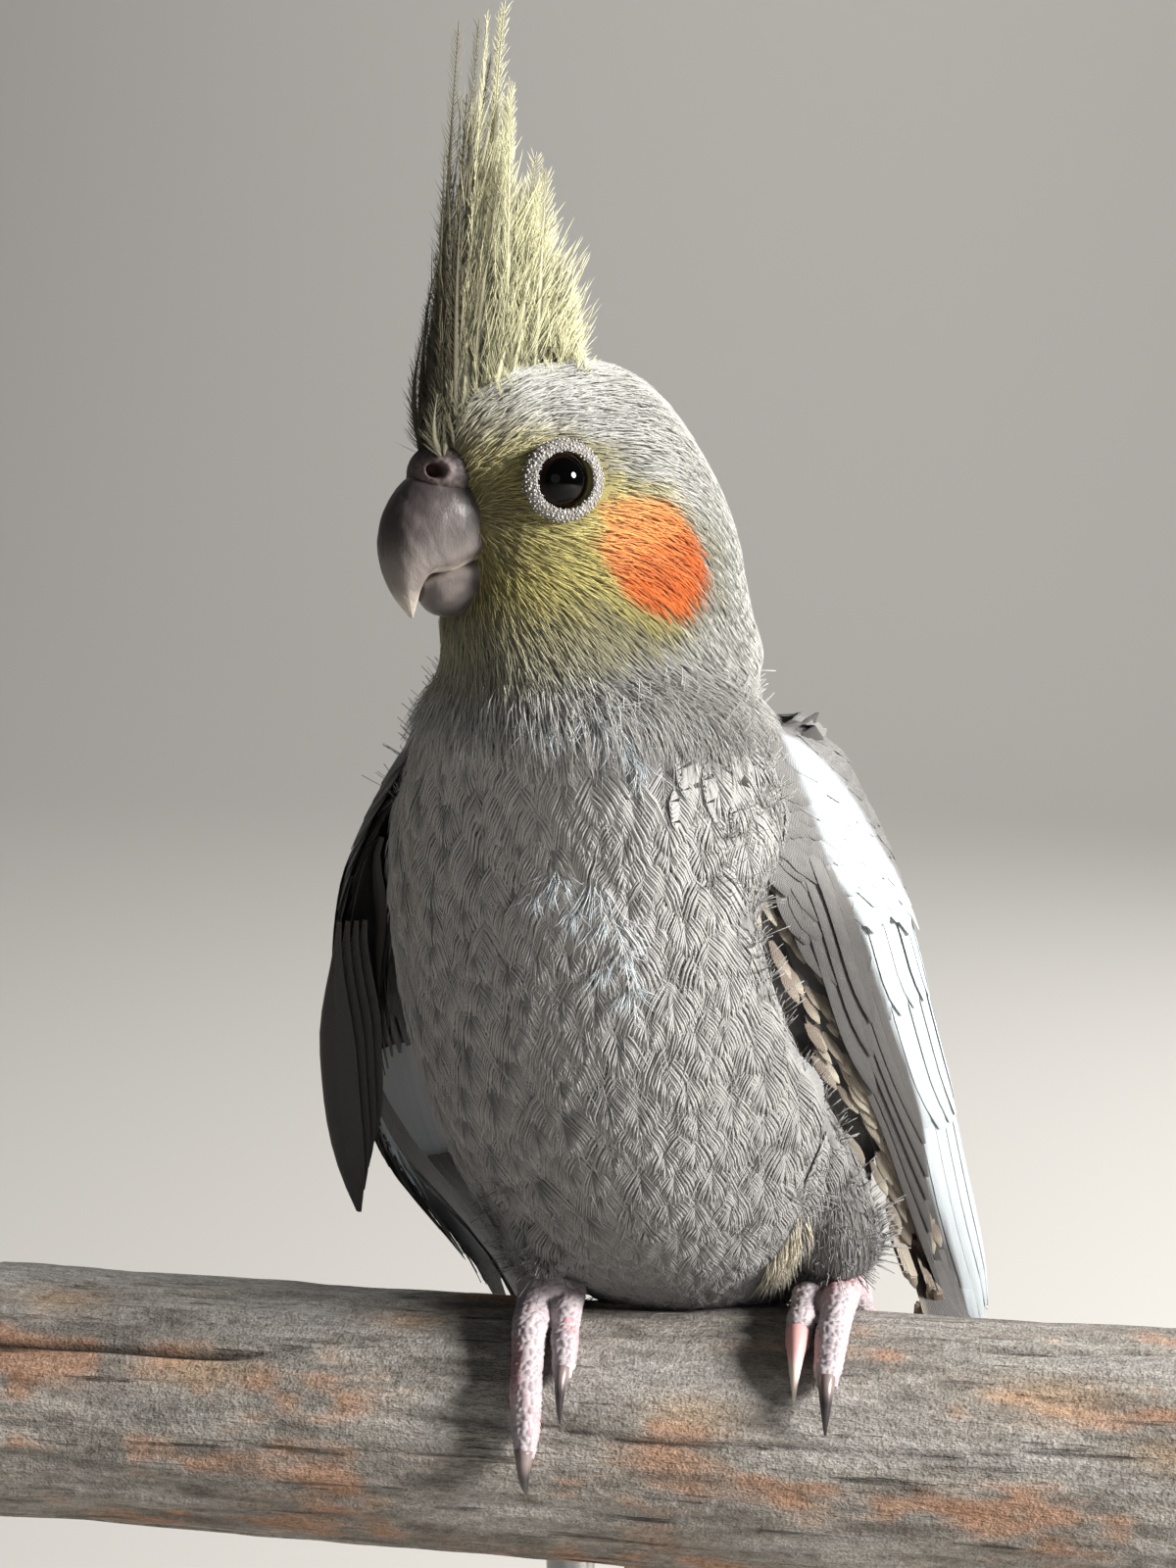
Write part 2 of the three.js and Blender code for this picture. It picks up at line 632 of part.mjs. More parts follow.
// A row of wing feathers, from the leading edge inwards. Each lies like a slat, with its leading
// side over the feather before it, so tilt is in degrees.
const feathersOfWing = [
  { count: 7, root: [0.3, 0.13], rootC: [0.09, 0.7], tipC: [0.12, 0.84], wide: 3.6, tilt: 21,
    rootLift: [-1, -0.4], lift: [-3.4, -2.4],
    tips: (q) => mix(1, 0.63, q ** 0.85) - 0.07 * Math.max(0, 1 - q * 6) },
  { count: 6, root: [0.12, 0.17], rootC: [0.27, 0.84], tipC: [0.32, 0.88], wide: 4.7, tilt: 17,
    rootLift: [0, 0.8], lift: [-0.3, 0.5], tips: (q) => mix(0.62, 0.66, q) - 0.12 * q * q },
  { count: 6, root: [0.1, 0.13], rootC: [0.26, 0.84], tipC: [0.28, 0.86], wide: 4.2, tilt: 17,
    rootLift: [0.8, 1.6], lift: [2, 2.8], tips: (q) => mix(0.43, 0.37, q) },
  { count: 4, root: [0.16, 0.12], rootC: [0.06, 0.2], tipC: [0.07, 0.24], wide: 2.6, tilt: 24,
    rootLift: [-0.2, 0.6], lift: [-0.6, 0.3], tips: (q) => mix(0.52, 0.42, q) },
  { count: 3, root: [0.1, 0.08], rootC: [0.03, 0.13], tipC: [0.04, 0.14], wide: 2.5, tilt: 20,
    rootLift: [0.8, 1.5], lift: [2, 2.8], tips: (q) => mix(0.36, 0.26, q) },
  { count: 3, root: [0.11, 0.12], rootC: [0.22, 0.62], tipC: [0.22, 0.68], wide: 4.8, tilt: -16,
    rootLift: [-0.6, -1], lift: [-4.8, -5.4], tips: (q) => mix(0.36, 0.3, q) },
];
const LONG_ROW = 0.6; // a feather that reaches further than this down the wing has more stops

function wingFeather(wing, row, q) {
  const start = mix(...row.root, q);
  const tip = row.tips(q);
  const along = (t) => mix(start, tip, t);
  const beside = (t) => mix(mix(...row.rootC, q), mix(...row.tipC, q), t);
  const tilt = rad(row.tilt);
  return feather({
    path: (t) => {
      const lift = mix(mix(...row.rootLift, q), mix(...row.lift, q), smooth(t, 0, 0.4));
      return onWing(wing, along(t), beside(t), lift);
    },
    across: (t) => {
      const side = wingSpot(wing, along(t), beside(t) + 0.02).sub(wingSpot(wing, along(t), beside(t) - 0.02));
      return side.normalize().multiplyScalar(Math.cos(tilt))
        .addScaledVector(wingNormal(wing, along(t), beside(t)), -Math.sin(tilt));
    },
    width: vaneWidth(row.wide),
    stops: tip > LONG_ROW ? STOPS : SHORT_STOPS,
  });
}

function makeWings(room) {
  for (const side of ['left', 'right']) {
    const wing = wings[side];
    const pieces = [solid(armForm(wing))];
    for (const row of feathersOfWing) {
      for (let i = 0; i < row.count; i++) {
        pieces.push(solid(wingFeather(wing, row, i / (row.count - 1))));
      }
    }
    if (side === 'right') {
      pieces.push(...slippedFeathers());
    }
    place(`wing_${side}`, geometryOf(join(pieces).subtract(room)), colours.grey);
  }
}

// Feathers of the right hand that have slipped out below the rest, at the leading edge
function slippedFeathers() {
  const [root, middle, tip] = [vec(-42.6, -10.5, 52), vec(-49.5, -2.5, 30), vec(-44.2, 5, 9.5)];
  const shape = new THREE.QuadraticBezierCurve3(root, middle, tip);
  const out = vec(-0.82, -0.5, 0.1);
  return [0, 1, 2].map((i) => solid(feather({
    path: (t) => shape.getPoint(t * (1 - 0.09 * i)).addScaledVector(out, -0.95 * i).add(vec(0, 1.6 * i, 0)),
    across: () => vec(0.35, -0.93, -0.1),
    width: vaneWidth(3.6, 0.2),
  })));
}

// Tail: direction from the root, and its upper side
const tailDown = vec(0, Math.cos(rad(TAIL_DROP)), -Math.sin(rad(TAIL_DROP)));
const tailUp = vec(0, Math.sin(rad(TAIL_DROP)), Math.cos(rad(TAIL_DROP)));
const onTail = (along, side, lift) => TAIL_ROOT.clone()
  .addScaledVector(tailDown, along).add(vec(side, 0, 0)).addScaledVector(tailUp, lift);

// Tail feathers: pairs from the middle outwards, each under the one before, and the coverts over
// and under their roots
const TAIL_PAIRS = [1, 0.92, 0.82, 0.72, 0.62, 0.54];
const TAIL_STEP = 0.88; // from one feather down to the next

function tailFeathers() {
  const pieces = [];
  TAIL_PAIRS.forEach((share, i) => {
    for (const side of [-1, 1]) {
      const middle = i === 0;
      const widest = middle ? 6.6 : 6;
      const width = vaneWidth(widest, middle ? 0.16 : 0.3);
      const lift = 2.1 - TAIL_STEP * i + (middle && side > 0 ? TAIL_STEP : 0);
      const beside = (t) => side * (middle ? mix(0.6, 1.6, t) : width(Math.min(t, 0.6)) + 0.3 + 0.8 * i * t);
      pieces.push(feather({
        path: (t) => onTail(mix(8, TAIL_LENGTH * share, t), beside(t), lift - 2 * t * t),
        across: () => vec(1, 0, 0),
        width,
      }));
    }
  });
  return pieces;
}

function tailCoverts() {
  const pieces = [];
  for (const { count, over, reach, spread } of [
    { count: 3, over: 1, reach: 50, spread: 4.6 },
    { count: 3, over: -1, reach: 62, spread: 4.2 },
  ]) {
    for (let i = 0; i < count; i++) {
      const q = (i / (count - 1)) * 2 - 1;
      pieces.push(feather({
        path: (t) => onTail(mix(5, reach - 9 * Math.abs(q), t), q * spread * mix(0.7, 1.25, t),
          over * mix(1.8, 4.6 - (i % 2) * 0.9, smooth(t, 0, 0.4))),
        across: () => vec(1, 0, 0.24 * q * over),
        width: vaneWidth(4.6),
        stops: SHORT_STOPS,
      }));
    }
  }
  return pieces;
}

// Crest: feathers rooted in the crown, the longest in front, with their tips swept back
const CREST_COUNT = 18;
const CREST_FRONT = 10.2; // where the first and the last are rooted, before and behind the eye
const CREST_BACK = -7;

function crownHeight(f) {
  return f > -4 ? 13.2 - 0.047 * (f + 4) ** 2 * (f > 6 ? 0.8 : 0.7) : 13.2 - 0.06 * (f + 4) ** 2;
}

function crestFeathers() {
  const random = seeded(7);
  const pieces = [];
  for (let i = 0; i < CREST_COUNT; i++) {
    const q = i / (CREST_COUNT - 1);
    const column = (i % 3) - 1;
    const f = mix(CREST_FRONT, CREST_BACK, q);
    const beside = column * mix(2.2, 3.4, q);
    const rootUp = crownHeight(f) - 2.2 - 0.4 * Math.abs(column);
    const length = mix(57, 23, q ** 0.75) * mix(0.93, 1.04, random()) * (column === 0 ? 1 : 0.93);
    const tipF = mix(6.5, -4.2, q ** 0.8) + mix(-0.8, 0.8, random());
    const bend = new THREE.QuadraticBezierCurve3(
      onHead(f, beside, rootUp),
      onHead(f + mix(1.6, -1.6, q), beside * 1.3, rootUp + length * 0.55),
      onHead(tipF, beside * 0.55 + mix(-0.8, 0.8, random()), rootUp + length),
    );
    const slant = rad(column * 34 + mix(-12, 12, random()));
    pieces.push(solid(feather({
      path: (t) => bend.getPoint(t),
      across: () => forward.clone().multiplyScalar(Math.cos(slant))
        .addScaledVector(leftward, Math.sin(slant)),
      width: (t) => mix(1.0, 1.7, smooth(t, 0, 0.3)) * mix(1, 0.35, smooth(t, 0.45, 1)),
      thick: 0.8,
      stops: [0, 0.25, 0.5, 0.76, 1],
    })));
  }
  return pieces;
}

function makeBody() {
  const body = solid(bodyForm());
  const log = solid(perchForm(GAP));
  const lids = [1, -1].map((side) => solid(lidRing(side)));
  const sockets = [1, -1].map((side) => solid(ballAt(eyeAt(side), EYE_RADIUS + GAP, 12, 7)));
  const bill = join([solid(upperBill(GAP)), solid(lowerBill(GAP)), solid(cereForm(GAP))]);

  let head = join([body.intersect(above(headCut)).intersect(below(crownCut)), ...lids]);
  head = head.subtract(join(sockets)).subtract(bill);
  place('head', geometryOf(head), colours.face);

  const crown = largest(body.intersect(above(crownCut)));
  const crest = join([crown, ...crestFeathers()]).intersect(above(crownCut)).subtract(bill);
  place('crest', geometryOf(crest), colours.dark);

  const neck = body.intersect(below(headCut)).intersect(above(neckCut));
  place('neck', geometryOf(neck), colours.grey);

  const torso = body.intersect(below(neckCut)).intersect(above(tailCut)).subtract(log);
  const legs = join(Object.values(FEET).map((foot) => solid(legForm(foot, GAP))));
  const feet = join(Object.keys(FEET).map((side) => footRoom(side)));
  place('torso', geometryOf(torso.subtract(legs).subtract(feet)), colours.grey);

  const stub = largest(body.intersect(below(tailCut)).subtract(log));
  const vanes = [...tailFeathers(), ...tailCoverts()].map(solid);
  place('tail', geometryOf(join([stub, ...vanes])), colours.dark);
  return solid(bodyForm(GAP)).add(legs);
}

makeStand();
makePerch();
const bodyRoom = makeBody();
makeBill();
makeEyes();
makeFeet();
makeWings(bodyRoom);

export default model;
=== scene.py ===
import math

import bpy
import numpy as np
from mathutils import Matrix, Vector
from mathutils.bvhtree import BVHTree
from mathutils.kdtree import KDTree


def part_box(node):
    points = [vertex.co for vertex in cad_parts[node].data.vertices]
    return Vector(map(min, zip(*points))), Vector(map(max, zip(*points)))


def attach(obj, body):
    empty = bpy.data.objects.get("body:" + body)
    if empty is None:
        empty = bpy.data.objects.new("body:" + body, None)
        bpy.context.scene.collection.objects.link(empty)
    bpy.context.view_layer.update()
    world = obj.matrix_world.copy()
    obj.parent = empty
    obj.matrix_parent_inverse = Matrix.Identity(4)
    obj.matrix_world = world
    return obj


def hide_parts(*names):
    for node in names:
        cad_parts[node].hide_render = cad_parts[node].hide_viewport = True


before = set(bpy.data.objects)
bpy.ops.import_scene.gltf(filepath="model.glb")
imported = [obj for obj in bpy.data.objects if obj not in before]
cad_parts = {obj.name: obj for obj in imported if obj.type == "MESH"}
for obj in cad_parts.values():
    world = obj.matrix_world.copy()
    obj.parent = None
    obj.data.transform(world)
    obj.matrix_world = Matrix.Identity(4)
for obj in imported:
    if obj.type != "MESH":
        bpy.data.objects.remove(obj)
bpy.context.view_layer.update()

# Sizes are in millimetres, from the top of the log between the feet: x is the bird's left, y its
# back and z up. to_scene turns them into metres over the floor.
MM = 0.001
PERCH_TOP = 160
PERCH_RADIUS = 17
PERCH_FROM = -95
PERCH_TO = 81
GAP = 0.3
HEAD_TURN = 54
HEAD_AT = np.array([-16.3, -21.1, 106.8])
EYE_RADIUS = 3.9
EYE_SIDE = 9.4
TAIL_ROOT = np.array([1.5, 24, -11])
TAIL_DROP = 65
TAIL_LENGTH = 150
TOE_RADIUS = 2.45
CLAW_SWEEP = 17
FEET = {
    "right": {"x": -16.2, "ball": 6, "inner_front": 49, "outer_front": 79, "inner_back": -44,
              "outer_back": -66},
    "left": {"x": 19.9, "ball": -12, "inner_front": 35, "outer_front": 47, "inner_back": -60,
             "outer_back": -80},
}
TOES = {
    "inner_front": {"root": -2.6, "tip": -3.6, "thick": 0.86},
    "outer_front": {"root": 1.6, "tip": 0.4, "thick": 1.0},
    "inner_back": {"root": -2.2, "tip": -4.6, "thick": 0.8},
    "outer_back": {"root": 2.2, "tip": 4.4, "thick": 0.95},
}
FEATHER_PATCH = 0.003

turn = math.radians(HEAD_TURN)
FORWARD = np.array([-math.sin(turn), -math.cos(turn), 0])
LEFTWARD = np.array([math.cos(turn), -math.sin(turn), 0])
UP = np.array([0, 0, 1.0])
drop = math.radians(TAIL_DROP)
TAIL_DOWN = np.array([0, math.cos(drop), -math.sin(drop)])
TAIL_UP = np.array([0, math.sin(drop), math.cos(drop)])


def to_scene(points):
    return (np.asarray(points, float) + (0, 0, PERCH_TOP)) * MM


def from_scene(points):
    return np.asarray(points, float) / MM - (0, 0, PERCH_TOP)


def mix(a, b, t):
    return a + (b - a) * t


def smooth(x, low, high):
    t = np.clip((x - low) / (high - low), 0, 1)
    return t * t * (3 - 2 * t)


def vane_width(t, root, grown, point, last, least=0.01):
    """Half width along a feather, as a share: it grows from its root and rounds off at its tip."""
    return mix(root, 1, smooth(t, 0, grown)) * np.sqrt(np.clip(1 - smooth(t, point, last) ** 2, least, 1))


def bow(a, b, c, t):
    """A parabola from a to c that b pulls aside."""
    return a * (1 - t) ** 2 + 2 * b * t * (1 - t) + c * t ** 2


def capped(share, end):
    """Place from 0 to 1 between two rounded ends, and how far open the form is there."""
    place = np.clip((share - end) / (1 - 2 * end), 0, 1)
    return place, np.sqrt(np.clip(np.minimum(share, 1 - share) / end, 0, 1))


def unit(v):
    return v / np.maximum(np.linalg.norm(v, axis=-1, keepdims=True), 1e-9)


def on_head(f, side, u):
    f, side, u = (np.asarray(a, float)[..., None] for a in (f, side, u))
    return HEAD_AT + f * FORWARD + side * LEFTWARD + u * UP


def in_head(points):
    away = points - HEAD_AT
    return away @ FORWARD, away @ LEFTWARD, away[..., 2]


def on_tail(along, side, lift):
    along, side, lift = (np.asarray(a, float)[..., None] for a in (along, side, lift))
    return TAIL_ROOT + along * TAIL_DOWN + side * np.array([1.0, 0, 0]) + lift * TAIL_UP


def linear(code):
    """An sRGB hex colour as linear light."""
    values = np.array([int(code[i:i + 2], 16) / 255 for i in (1, 3, 5)])
    return np.where(values <= 0.04045, values / 12.92, ((values + 0.055) / 1.055) ** 2.4)


def chance(cell, seed):
    """A fixed random value from 0 to 1 for each whole-number cell."""
    code = (cell[..., 0] * 73856093) ^ (cell[..., 1] * 19349663) ^ (cell[..., 2] * 83492791) ^ (seed * 9781)
    code = ((code & 0x7fffffff) * 48271) & 0x7fffffff
    code = ((code ^ (code >> 13)) * 16807) & 0x7fffffff
    return (code & 0xffff) / 0xffff


def clump(points, size, seed=0):
    """Soft random values from -1 to 1 that vary over the given size, alike at each run."""
    spot = np.asarray(points, float) / size
    cell = np.floor(spot).astype(np.int64)
    part = spot - cell
    ease = part * part * (3 - 2 * part)
    total = 0
    for corner in range(8):
        step = np.array([(corner >> axis) & 1 for axis in range(3)])
        weight = np.prod(np.where(step, ease, 1 - ease), axis=-1)
        total = total + weight * chance(cell + step, seed)
    return total * 2 - 1


def scale_cells(points, size, seed):
    """Irregular cells of a size: how near each point is to its cell's middle and to its border."""
    spot = np.asarray(points, float) / size
    cell = np.floor(spot).astype(np.int64)
    first = np.full(len(spot), 9.0)
    second = first.copy()
    for step in np.ndindex(3, 3, 3):
        at = cell + np.array(step) - 1
        middle = at + 0.5 + 0.36 * np.stack([chance(at, seed + k) * 2 - 1 for k in range(3)], -1)
        reach = np.linalg.norm(spot - middle, axis=1)
        second = np.where(reach < first, first, np.minimum(second, reach))
        first = np.minimum(first, reach)
    return first, second - first


def curve(points):
    """A smooth line through points, taken by its share from 0 to 1, as an array function."""
    points = np.asarray(points, float)
    first = 2 * points[0] - points[1]
    last = 2 * points[-1] - points[-2]
    full = np.vstack([first, points, last])
    gaps = np.sqrt(np.linalg.norm(np.diff(full, axis=0), axis=1))

    def at(share):
        share = np.asarray(share, float)
        place = np.clip(share, 0, 1) * (len(points) - 1)
        low = np.minimum(place.astype(int), len(points) - 2)
        w = (place - low)[..., None]
        p0, p1, p2, p3 = (full[low + k] for k in range(4))
        d0, d1, d2 = (gaps[low + k][..., None] for k in range(3))
        t1 = ((p1 - p0) / d0 - (p2 - p0) / (d0 + d1) + (p2 - p1) / d1) * d1
        t2 = ((p2 - p1) / d1 - (p3 - p1) / (d1 + d2) + (p3 - p2) / d2) * d1
        c2 = -3 * p1 + 3 * p2 - 2 * t1 - t2
        c3 = 2 * p1 - 2 * p2 + t1 + t2
        return p1 + t1 * w + c2 * w ** 2 + c3 * w ** 3

    return at


# Materials
def add(material, kind, inputs=(), output=0, **settings):
    """Adds one node with its settings and its inputs, as values or as sockets to join. Gives an output."""
    tree = material.node_tree
    node = tree.nodes.new("ShaderNode" + kind)
    for key, value in settings.items():
        setattr(node, key, value)
    for key, value in inputs.items() if isinstance(inputs, dict) else enumerate(inputs):
        if isinstance(value, bpy.types.NodeSocket):
            tree.links.new(value, node.inputs[key])
        else:
            node.inputs[key].default_value = value
    return node.outputs[output] if node.outputs else None


def blank(name):
    material = bpy.data.materials.new(name)
    material.use_nodes = True
    material.node_tree.nodes.clear()
    return material


def finish(material, colour, height=None, relief=0.0, **sockets):
    """Ends a material with its surface: its colour, a height in relief of some millimetres, and the
    constant values on the surface's own sockets."""
    inputs = {key.replace("_", " "): value for key, value in sockets.items()}
    inputs["Base Color"] = colour
    if height:
        inputs["Normal"] = add(material, "Bump", {"Height": height, "Distance": relief * MM, "Strength": 1.0})
    add(material, "OutputMaterial", [add(material, "BsdfPrincipled", inputs)])
    return material


def opaque(code):
    return (*linear(code), 1)


# Numbers of a colour mix node's factor, first and second colour, and of its result
FACTOR, FIRST, SECOND, MIXED = 0, 6, 7, 2


def feather_material(name, spacing, slope, groove_shade, relief, bars=0.0, **sockets):
    """Barbed vane: barbs run out from the shaft at their real spacing in millimetres, in relief, with
    painted shade in the thin grooves between them. The tint attribute holds the markings, and its alpha the
    bars."""
    material = blank(name)
    tint = add(material, "Attribute", attribute_name="tint")
    vane = add(material, "UVMap", uv_map="vane")
    beside = add(material, "SeparateXYZ", [vane])
    along = beside.node.outputs[1]
    wander = add(material, "TexNoise", {"Vector": vane, "Scale": 0.45, "Detail": 2.0})
    wander = add(material, "Math", (wander, spacing * 3.2), operation="MULTIPLY")
    beside = add(material, "Math", (beside, 0.0), operation="ABSOLUTE")
    beside = add(material, "Math", (beside, slope), operation="MULTIPLY")
    run = add(material, "Math", (along, beside), operation="SUBTRACT")
    run = add(material, "Math", (run, wander), operation="ADD")
    run = add(material, "Math", (run, 2 * math.pi / spacing), operation="MULTIPLY")
    wave = add(material, "Math", (run, 0.0), operation="SINE")
    fine = add(material, "TexNoise", {"Vector": vane, "Scale": 2.4, "Detail": 3.0})
    rough = add(material, "Math", (fine, 1.6), operation="MULTIPLY")
    height = add(material, "Math", (wave, rough), operation="ADD")
    # Painted shade: the grooves between the barbs are darkened by groove_shade.
    dark = add(material, "Math", (1.0, wave), operation="SUBTRACT")
    dark = add(material, "Math", (dark, groove_shade / 2), operation="MULTIPLY")
    colours = {FACTOR: dark, FIRST: tint, SECOND: (0.25, 0.24, 0.23, 1)}
    colour = add(material, "Mix", colours, MIXED, data_type="RGBA", blend_type="MULTIPLY")
    if bars:
        bar = add(material, "Math", (along, 2 * math.pi / bars), operation="MULTIPLY")
        bar = add(material, "Math", (bar, 0.0), operation="SINE")
        rough = add(material, "Math", (fine, 1.2), operation="MULTIPLY")
        bar = add(material, "Math", (bar, rough), operation="ADD")
        bar = add(material, "Math", (bar, 0.75), operation="GREATER_THAN")
        bar = add(material, "Math", (bar, tint.node.outputs["Alpha"]), operation="MULTIPLY")
        colours = {FACTOR: bar, FIRST: colour, SECOND: opaque("#4b4742")}
        colour = add(material, "Mix", colours, MIXED, data_type="RGBA")
    return finish(material, colour, height, relief, **sockets)


def noise_height(material, scales, stretch=(1, 1, 1)):
    """Summed noise on Object coordinates: each entry is a grain in millimetres and its share."""
    place = add(material, "TexCoord", output="Object")
    place = add(material, "Mapping", {0: place, "Scale": stretch})
    total = None
    for grain, share in scales:
        noise = add(material, "TexNoise", {"Vector": place, "Scale": 1 / (grain * MM), "Detail": 4.0})
        part = add(material, "Math", (noise, share), operation="MULTIPLY")
        total = add(material, "Math", (total, part), operation="ADD") if total else part
    return total


def tinted_material(name, scales, relief, darken, stretch=(1, 1, 1), **sockets):
    """A surface coloured by its tint attribute, with fine relief that also shades the colour."""
    material = blank(name)
    tint = add(material, "Attribute", attribute_name="tint")
    rough = noise_height(material, scales, stretch)
    low = add(material, "Math", (1.0, rough), operation="SUBTRACT")
    low = add(material, "Math", (low, darken), operation="MULTIPLY")
    colours = {FACTOR: low, FIRST: tint, SECOND: (0.2, 0.18, 0.17, 1)}
    colour = add(material, "Mix", colours, MIXED, data_type="RGBA", blend_type="MULTIPLY")
    return finish(material, colour, rough, relief, **sockets)


# Meshes
def pick(*pieces):
    """Selects these pieces only, the first of them as the active one."""
    bpy.ops.object.select_all(action="DESELECT")
    for piece in pieces:
        piece.select_set(True)
    if pieces:
        bpy.context.view_layer.objects.active = pieces[0]


def ball(name, segments, rings):
    """A unit ball whose rings and segments are the grid that a form is drawn on."""
    pick()
    bpy.ops.mesh.primitive_uv_sphere_add(segments=segments, ring_count=rings, radius=1)
    piece = bpy.context.object
    piece.name = name
    piece.data.name = name
    return piece


def triples(items, key):
    """One value of three numbers for each of a mesh's points or faces."""
    flat = np.empty(len(items) * 3)
    items.foreach_get(key, flat)
    return flat.reshape(-1, 3)


def coordinates(piece):
    return triples(piece.data.vertices, "co")


def set_coordinates(piece, points):
    piece.data.vertices.foreach_set("co", np.asarray(points, float).ravel())
    piece.data.update()


def place_of(piece):
    return from_scene(coordinates(piece))


def move(piece, points):
    """Moves a piece's points to places in millimetres."""
    set_coordinates(piece, to_scene(points))


def ball_grid(piece):
    """Height share and angle of a unit ball's points."""
    co = coordinates(piece)
    return np.arccos(np.clip(co[:, 2], -1, 1)) / math.pi, np.arctan2(co[:, 1], co[:, 0])


def shape(piece, form):
    """Moves a unit ball's points to a form given by height share and angle, in millimetres."""
    move(piece, form(*ball_grid(piece)))
    return piece


def turn_out(piece):
    """Points all faces outwards."""
    pick(piece)
    bpy.ops.object.mode_set(mode="EDIT")
    bpy.ops.mesh.select_all(action="SELECT")
    bpy.ops.mesh.normals_make_consistent(inside=False)
    bpy.ops.object.mode_set(mode="OBJECT")
    piece.data.shade_smooth()
    return piece


def apply_modifier(piece, kind, **settings):
    pick(piece)
    modifier = piece.modifiers.new(kind.title(), kind)
    for key, value in settings.items():
        setattr(modifier, key, value)
    bpy.ops.object.modifier_apply(modifier=modifier.name)
    return piece


def join(pieces, name):
    pick(*pieces)
    if len(pieces) > 1:
        bpy.ops.object.join()
    pieces[0].name = name
    pieces[0].data.name = name
    return pieces[0]


def fuse(pieces, name, voxel, rounds):
    """Several closed forms made one skin, with its steps smoothed away."""
    piece = join(pieces, name)
    apply_modifier(piece, "REMESH", mode="VOXEL", voxel_size=voxel * MM)
    apply_modifier(piece, "SMOOTH", factor=0.5, iterations=rounds)
    piece.data.shade_smooth()
    return piece


def tint_points(piece, colours):
    full = np.ones((len(colours), 4), np.float32)
    full[:, :colours.shape[1]] = colours
    attribute = piece.data.attributes.new("tint", "FLOAT_COLOR", "POINT")
    attribute.data.foreach_set("color", full.ravel())


def settle(piece, material, nodes=()):
    piece.data.materials.clear()
    piece.data.materials.append(material)
    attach(piece, "root")
    if nodes:
        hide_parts(*nodes)
    return piece


def link(name, data):
    """A new object in the scene."""
    made = bpy.data.objects.new(name, data)
    bpy.context.scene.collection.objects.link(made)
    return made


def mesh_of(name, points, faces, tint, vane, bake):
    """A mesh from arrays of points and of faces, with a colour, a vane place and a bake place each."""
    mesh = bpy.data.meshes.new(name)
    corners = np.concatenate([f.ravel() for f in faces]).astype(np.int32)
    sizes = np.concatenate([np.full(len(f), f.shape[1]) for f in faces])
    starts = np.concatenate([[0], np.cumsum(sizes)[:-1]]).astype(np.int32)
    mesh.vertices.add(len(points))
    mesh.vertices.foreach_set("co", to_scene(points).ravel())
    mesh.loops.add(len(corners))
    mesh.loops.foreach_set("vertex_index", corners)
    mesh.polygons.add(len(sizes))
    mesh.polygons.foreach_set("loop_start", starts)
    mesh.update(calc_edges=True)
    mesh.validate()
    for key, values in (("OFBake", bake), ("vane", vane)):
        layer = mesh.uv_layers.new(name=key)
        layer.data.foreach_set("uv", values[corners].astype(np.float32).ravel())
    mesh.uv_layers.active = mesh.uv_layers["OFBake"]
    mesh.shade_smooth()
    piece = link(name, mesh)
    tint_points(piece, tint)
    return piece


def lens(columns):
    """Outline of a thin blade's section: along its underside, then back over its top."""
    x = np.linspace(-1, 1, columns)
    y = np.sqrt(1 - x[1:-1] ** 2)
    low = np.stack([x, np.concatenate([[0], -y, [0]])], 1)
    top = np.stack([x[-2:0:-1], y[::-1]], 1)
    return np.vstack([low, top])


THREAD = np.array([[-1, -0.5], [1, -0.5], [0, 1.0]])


def blades(path, side, half, thick, profile, colour, root_uv, camber=0.0, points=None):
    """Closed blades alike in count: path is their middle lines, side their ways across. Points may be
    given ready made, round each stop's section."""
    count, stations, _ = path.shape
    x = profile[:, 0]
    y = profile[:, 1]
    if points is None:
        ahead = unit(np.gradient(path, axis=1))
        side = unit(side - ahead * np.sum(side * ahead, -1, keepdims=True))
        up = np.cross(ahead, side)
        lift = thick[..., None] * y - camber * half[..., None] * x ** 2
        points = path[:, :, None] + side[:, :, None] * (half[..., None] * x)[..., None]
        points = points + up[:, :, None] * lift[..., None]
    sides = len(profile)
    ring = np.arange(sides)
    after = np.roll(ring, -1)
    level = np.arange(stations - 1)[:, None] * sides
    quads = np.stack([level + ring, level + after, level + after + sides, level + ring + sides], -1)
    block = np.arange(count)[:, None, None] * stations * sides
    walls = (quads.reshape(1, -1, 4) + block).reshape(-1, 4)
    first = (ring[::-1] + block[:, 0]).reshape(-1, sides)
    last = (ring + (stations - 1) * sides + block[:, 0]).reshape(-1, sides)
    steps = np.linalg.norm(np.diff(path, axis=1), axis=2)
    along = np.concatenate([np.zeros((count, 1)), np.cumsum(steps, 1)], 1)
    vane = np.stack([half[..., None] * x + 0 * along[..., None], along[..., None] + 0 * x], -1)
    share = np.stack([0.5 * x + 0 * along[..., None],
                      (along / np.maximum(along[:, -1:], 1e-6) - 0.5)[..., None] + 0 * x], -1)
    bake = root_uv[:, None, None] + share * FEATHER_PATCH
    if colour.ndim == 3:
        colour = np.repeat(colour[:, :, None], sides, 2)
    return {
        "points": points.reshape(-1, 3),
        "faces": [walls, first, last],
        "tint": colour.reshape(-1, 4),
        "vane": vane.reshape(-1, 2),
        "bake": bake.reshape(-1, 2),
        "triangles": count * ((stations - 1) * sides * 2 + 2 * (sides - 2)),
    }


MOST_TRIANGLES = 190000


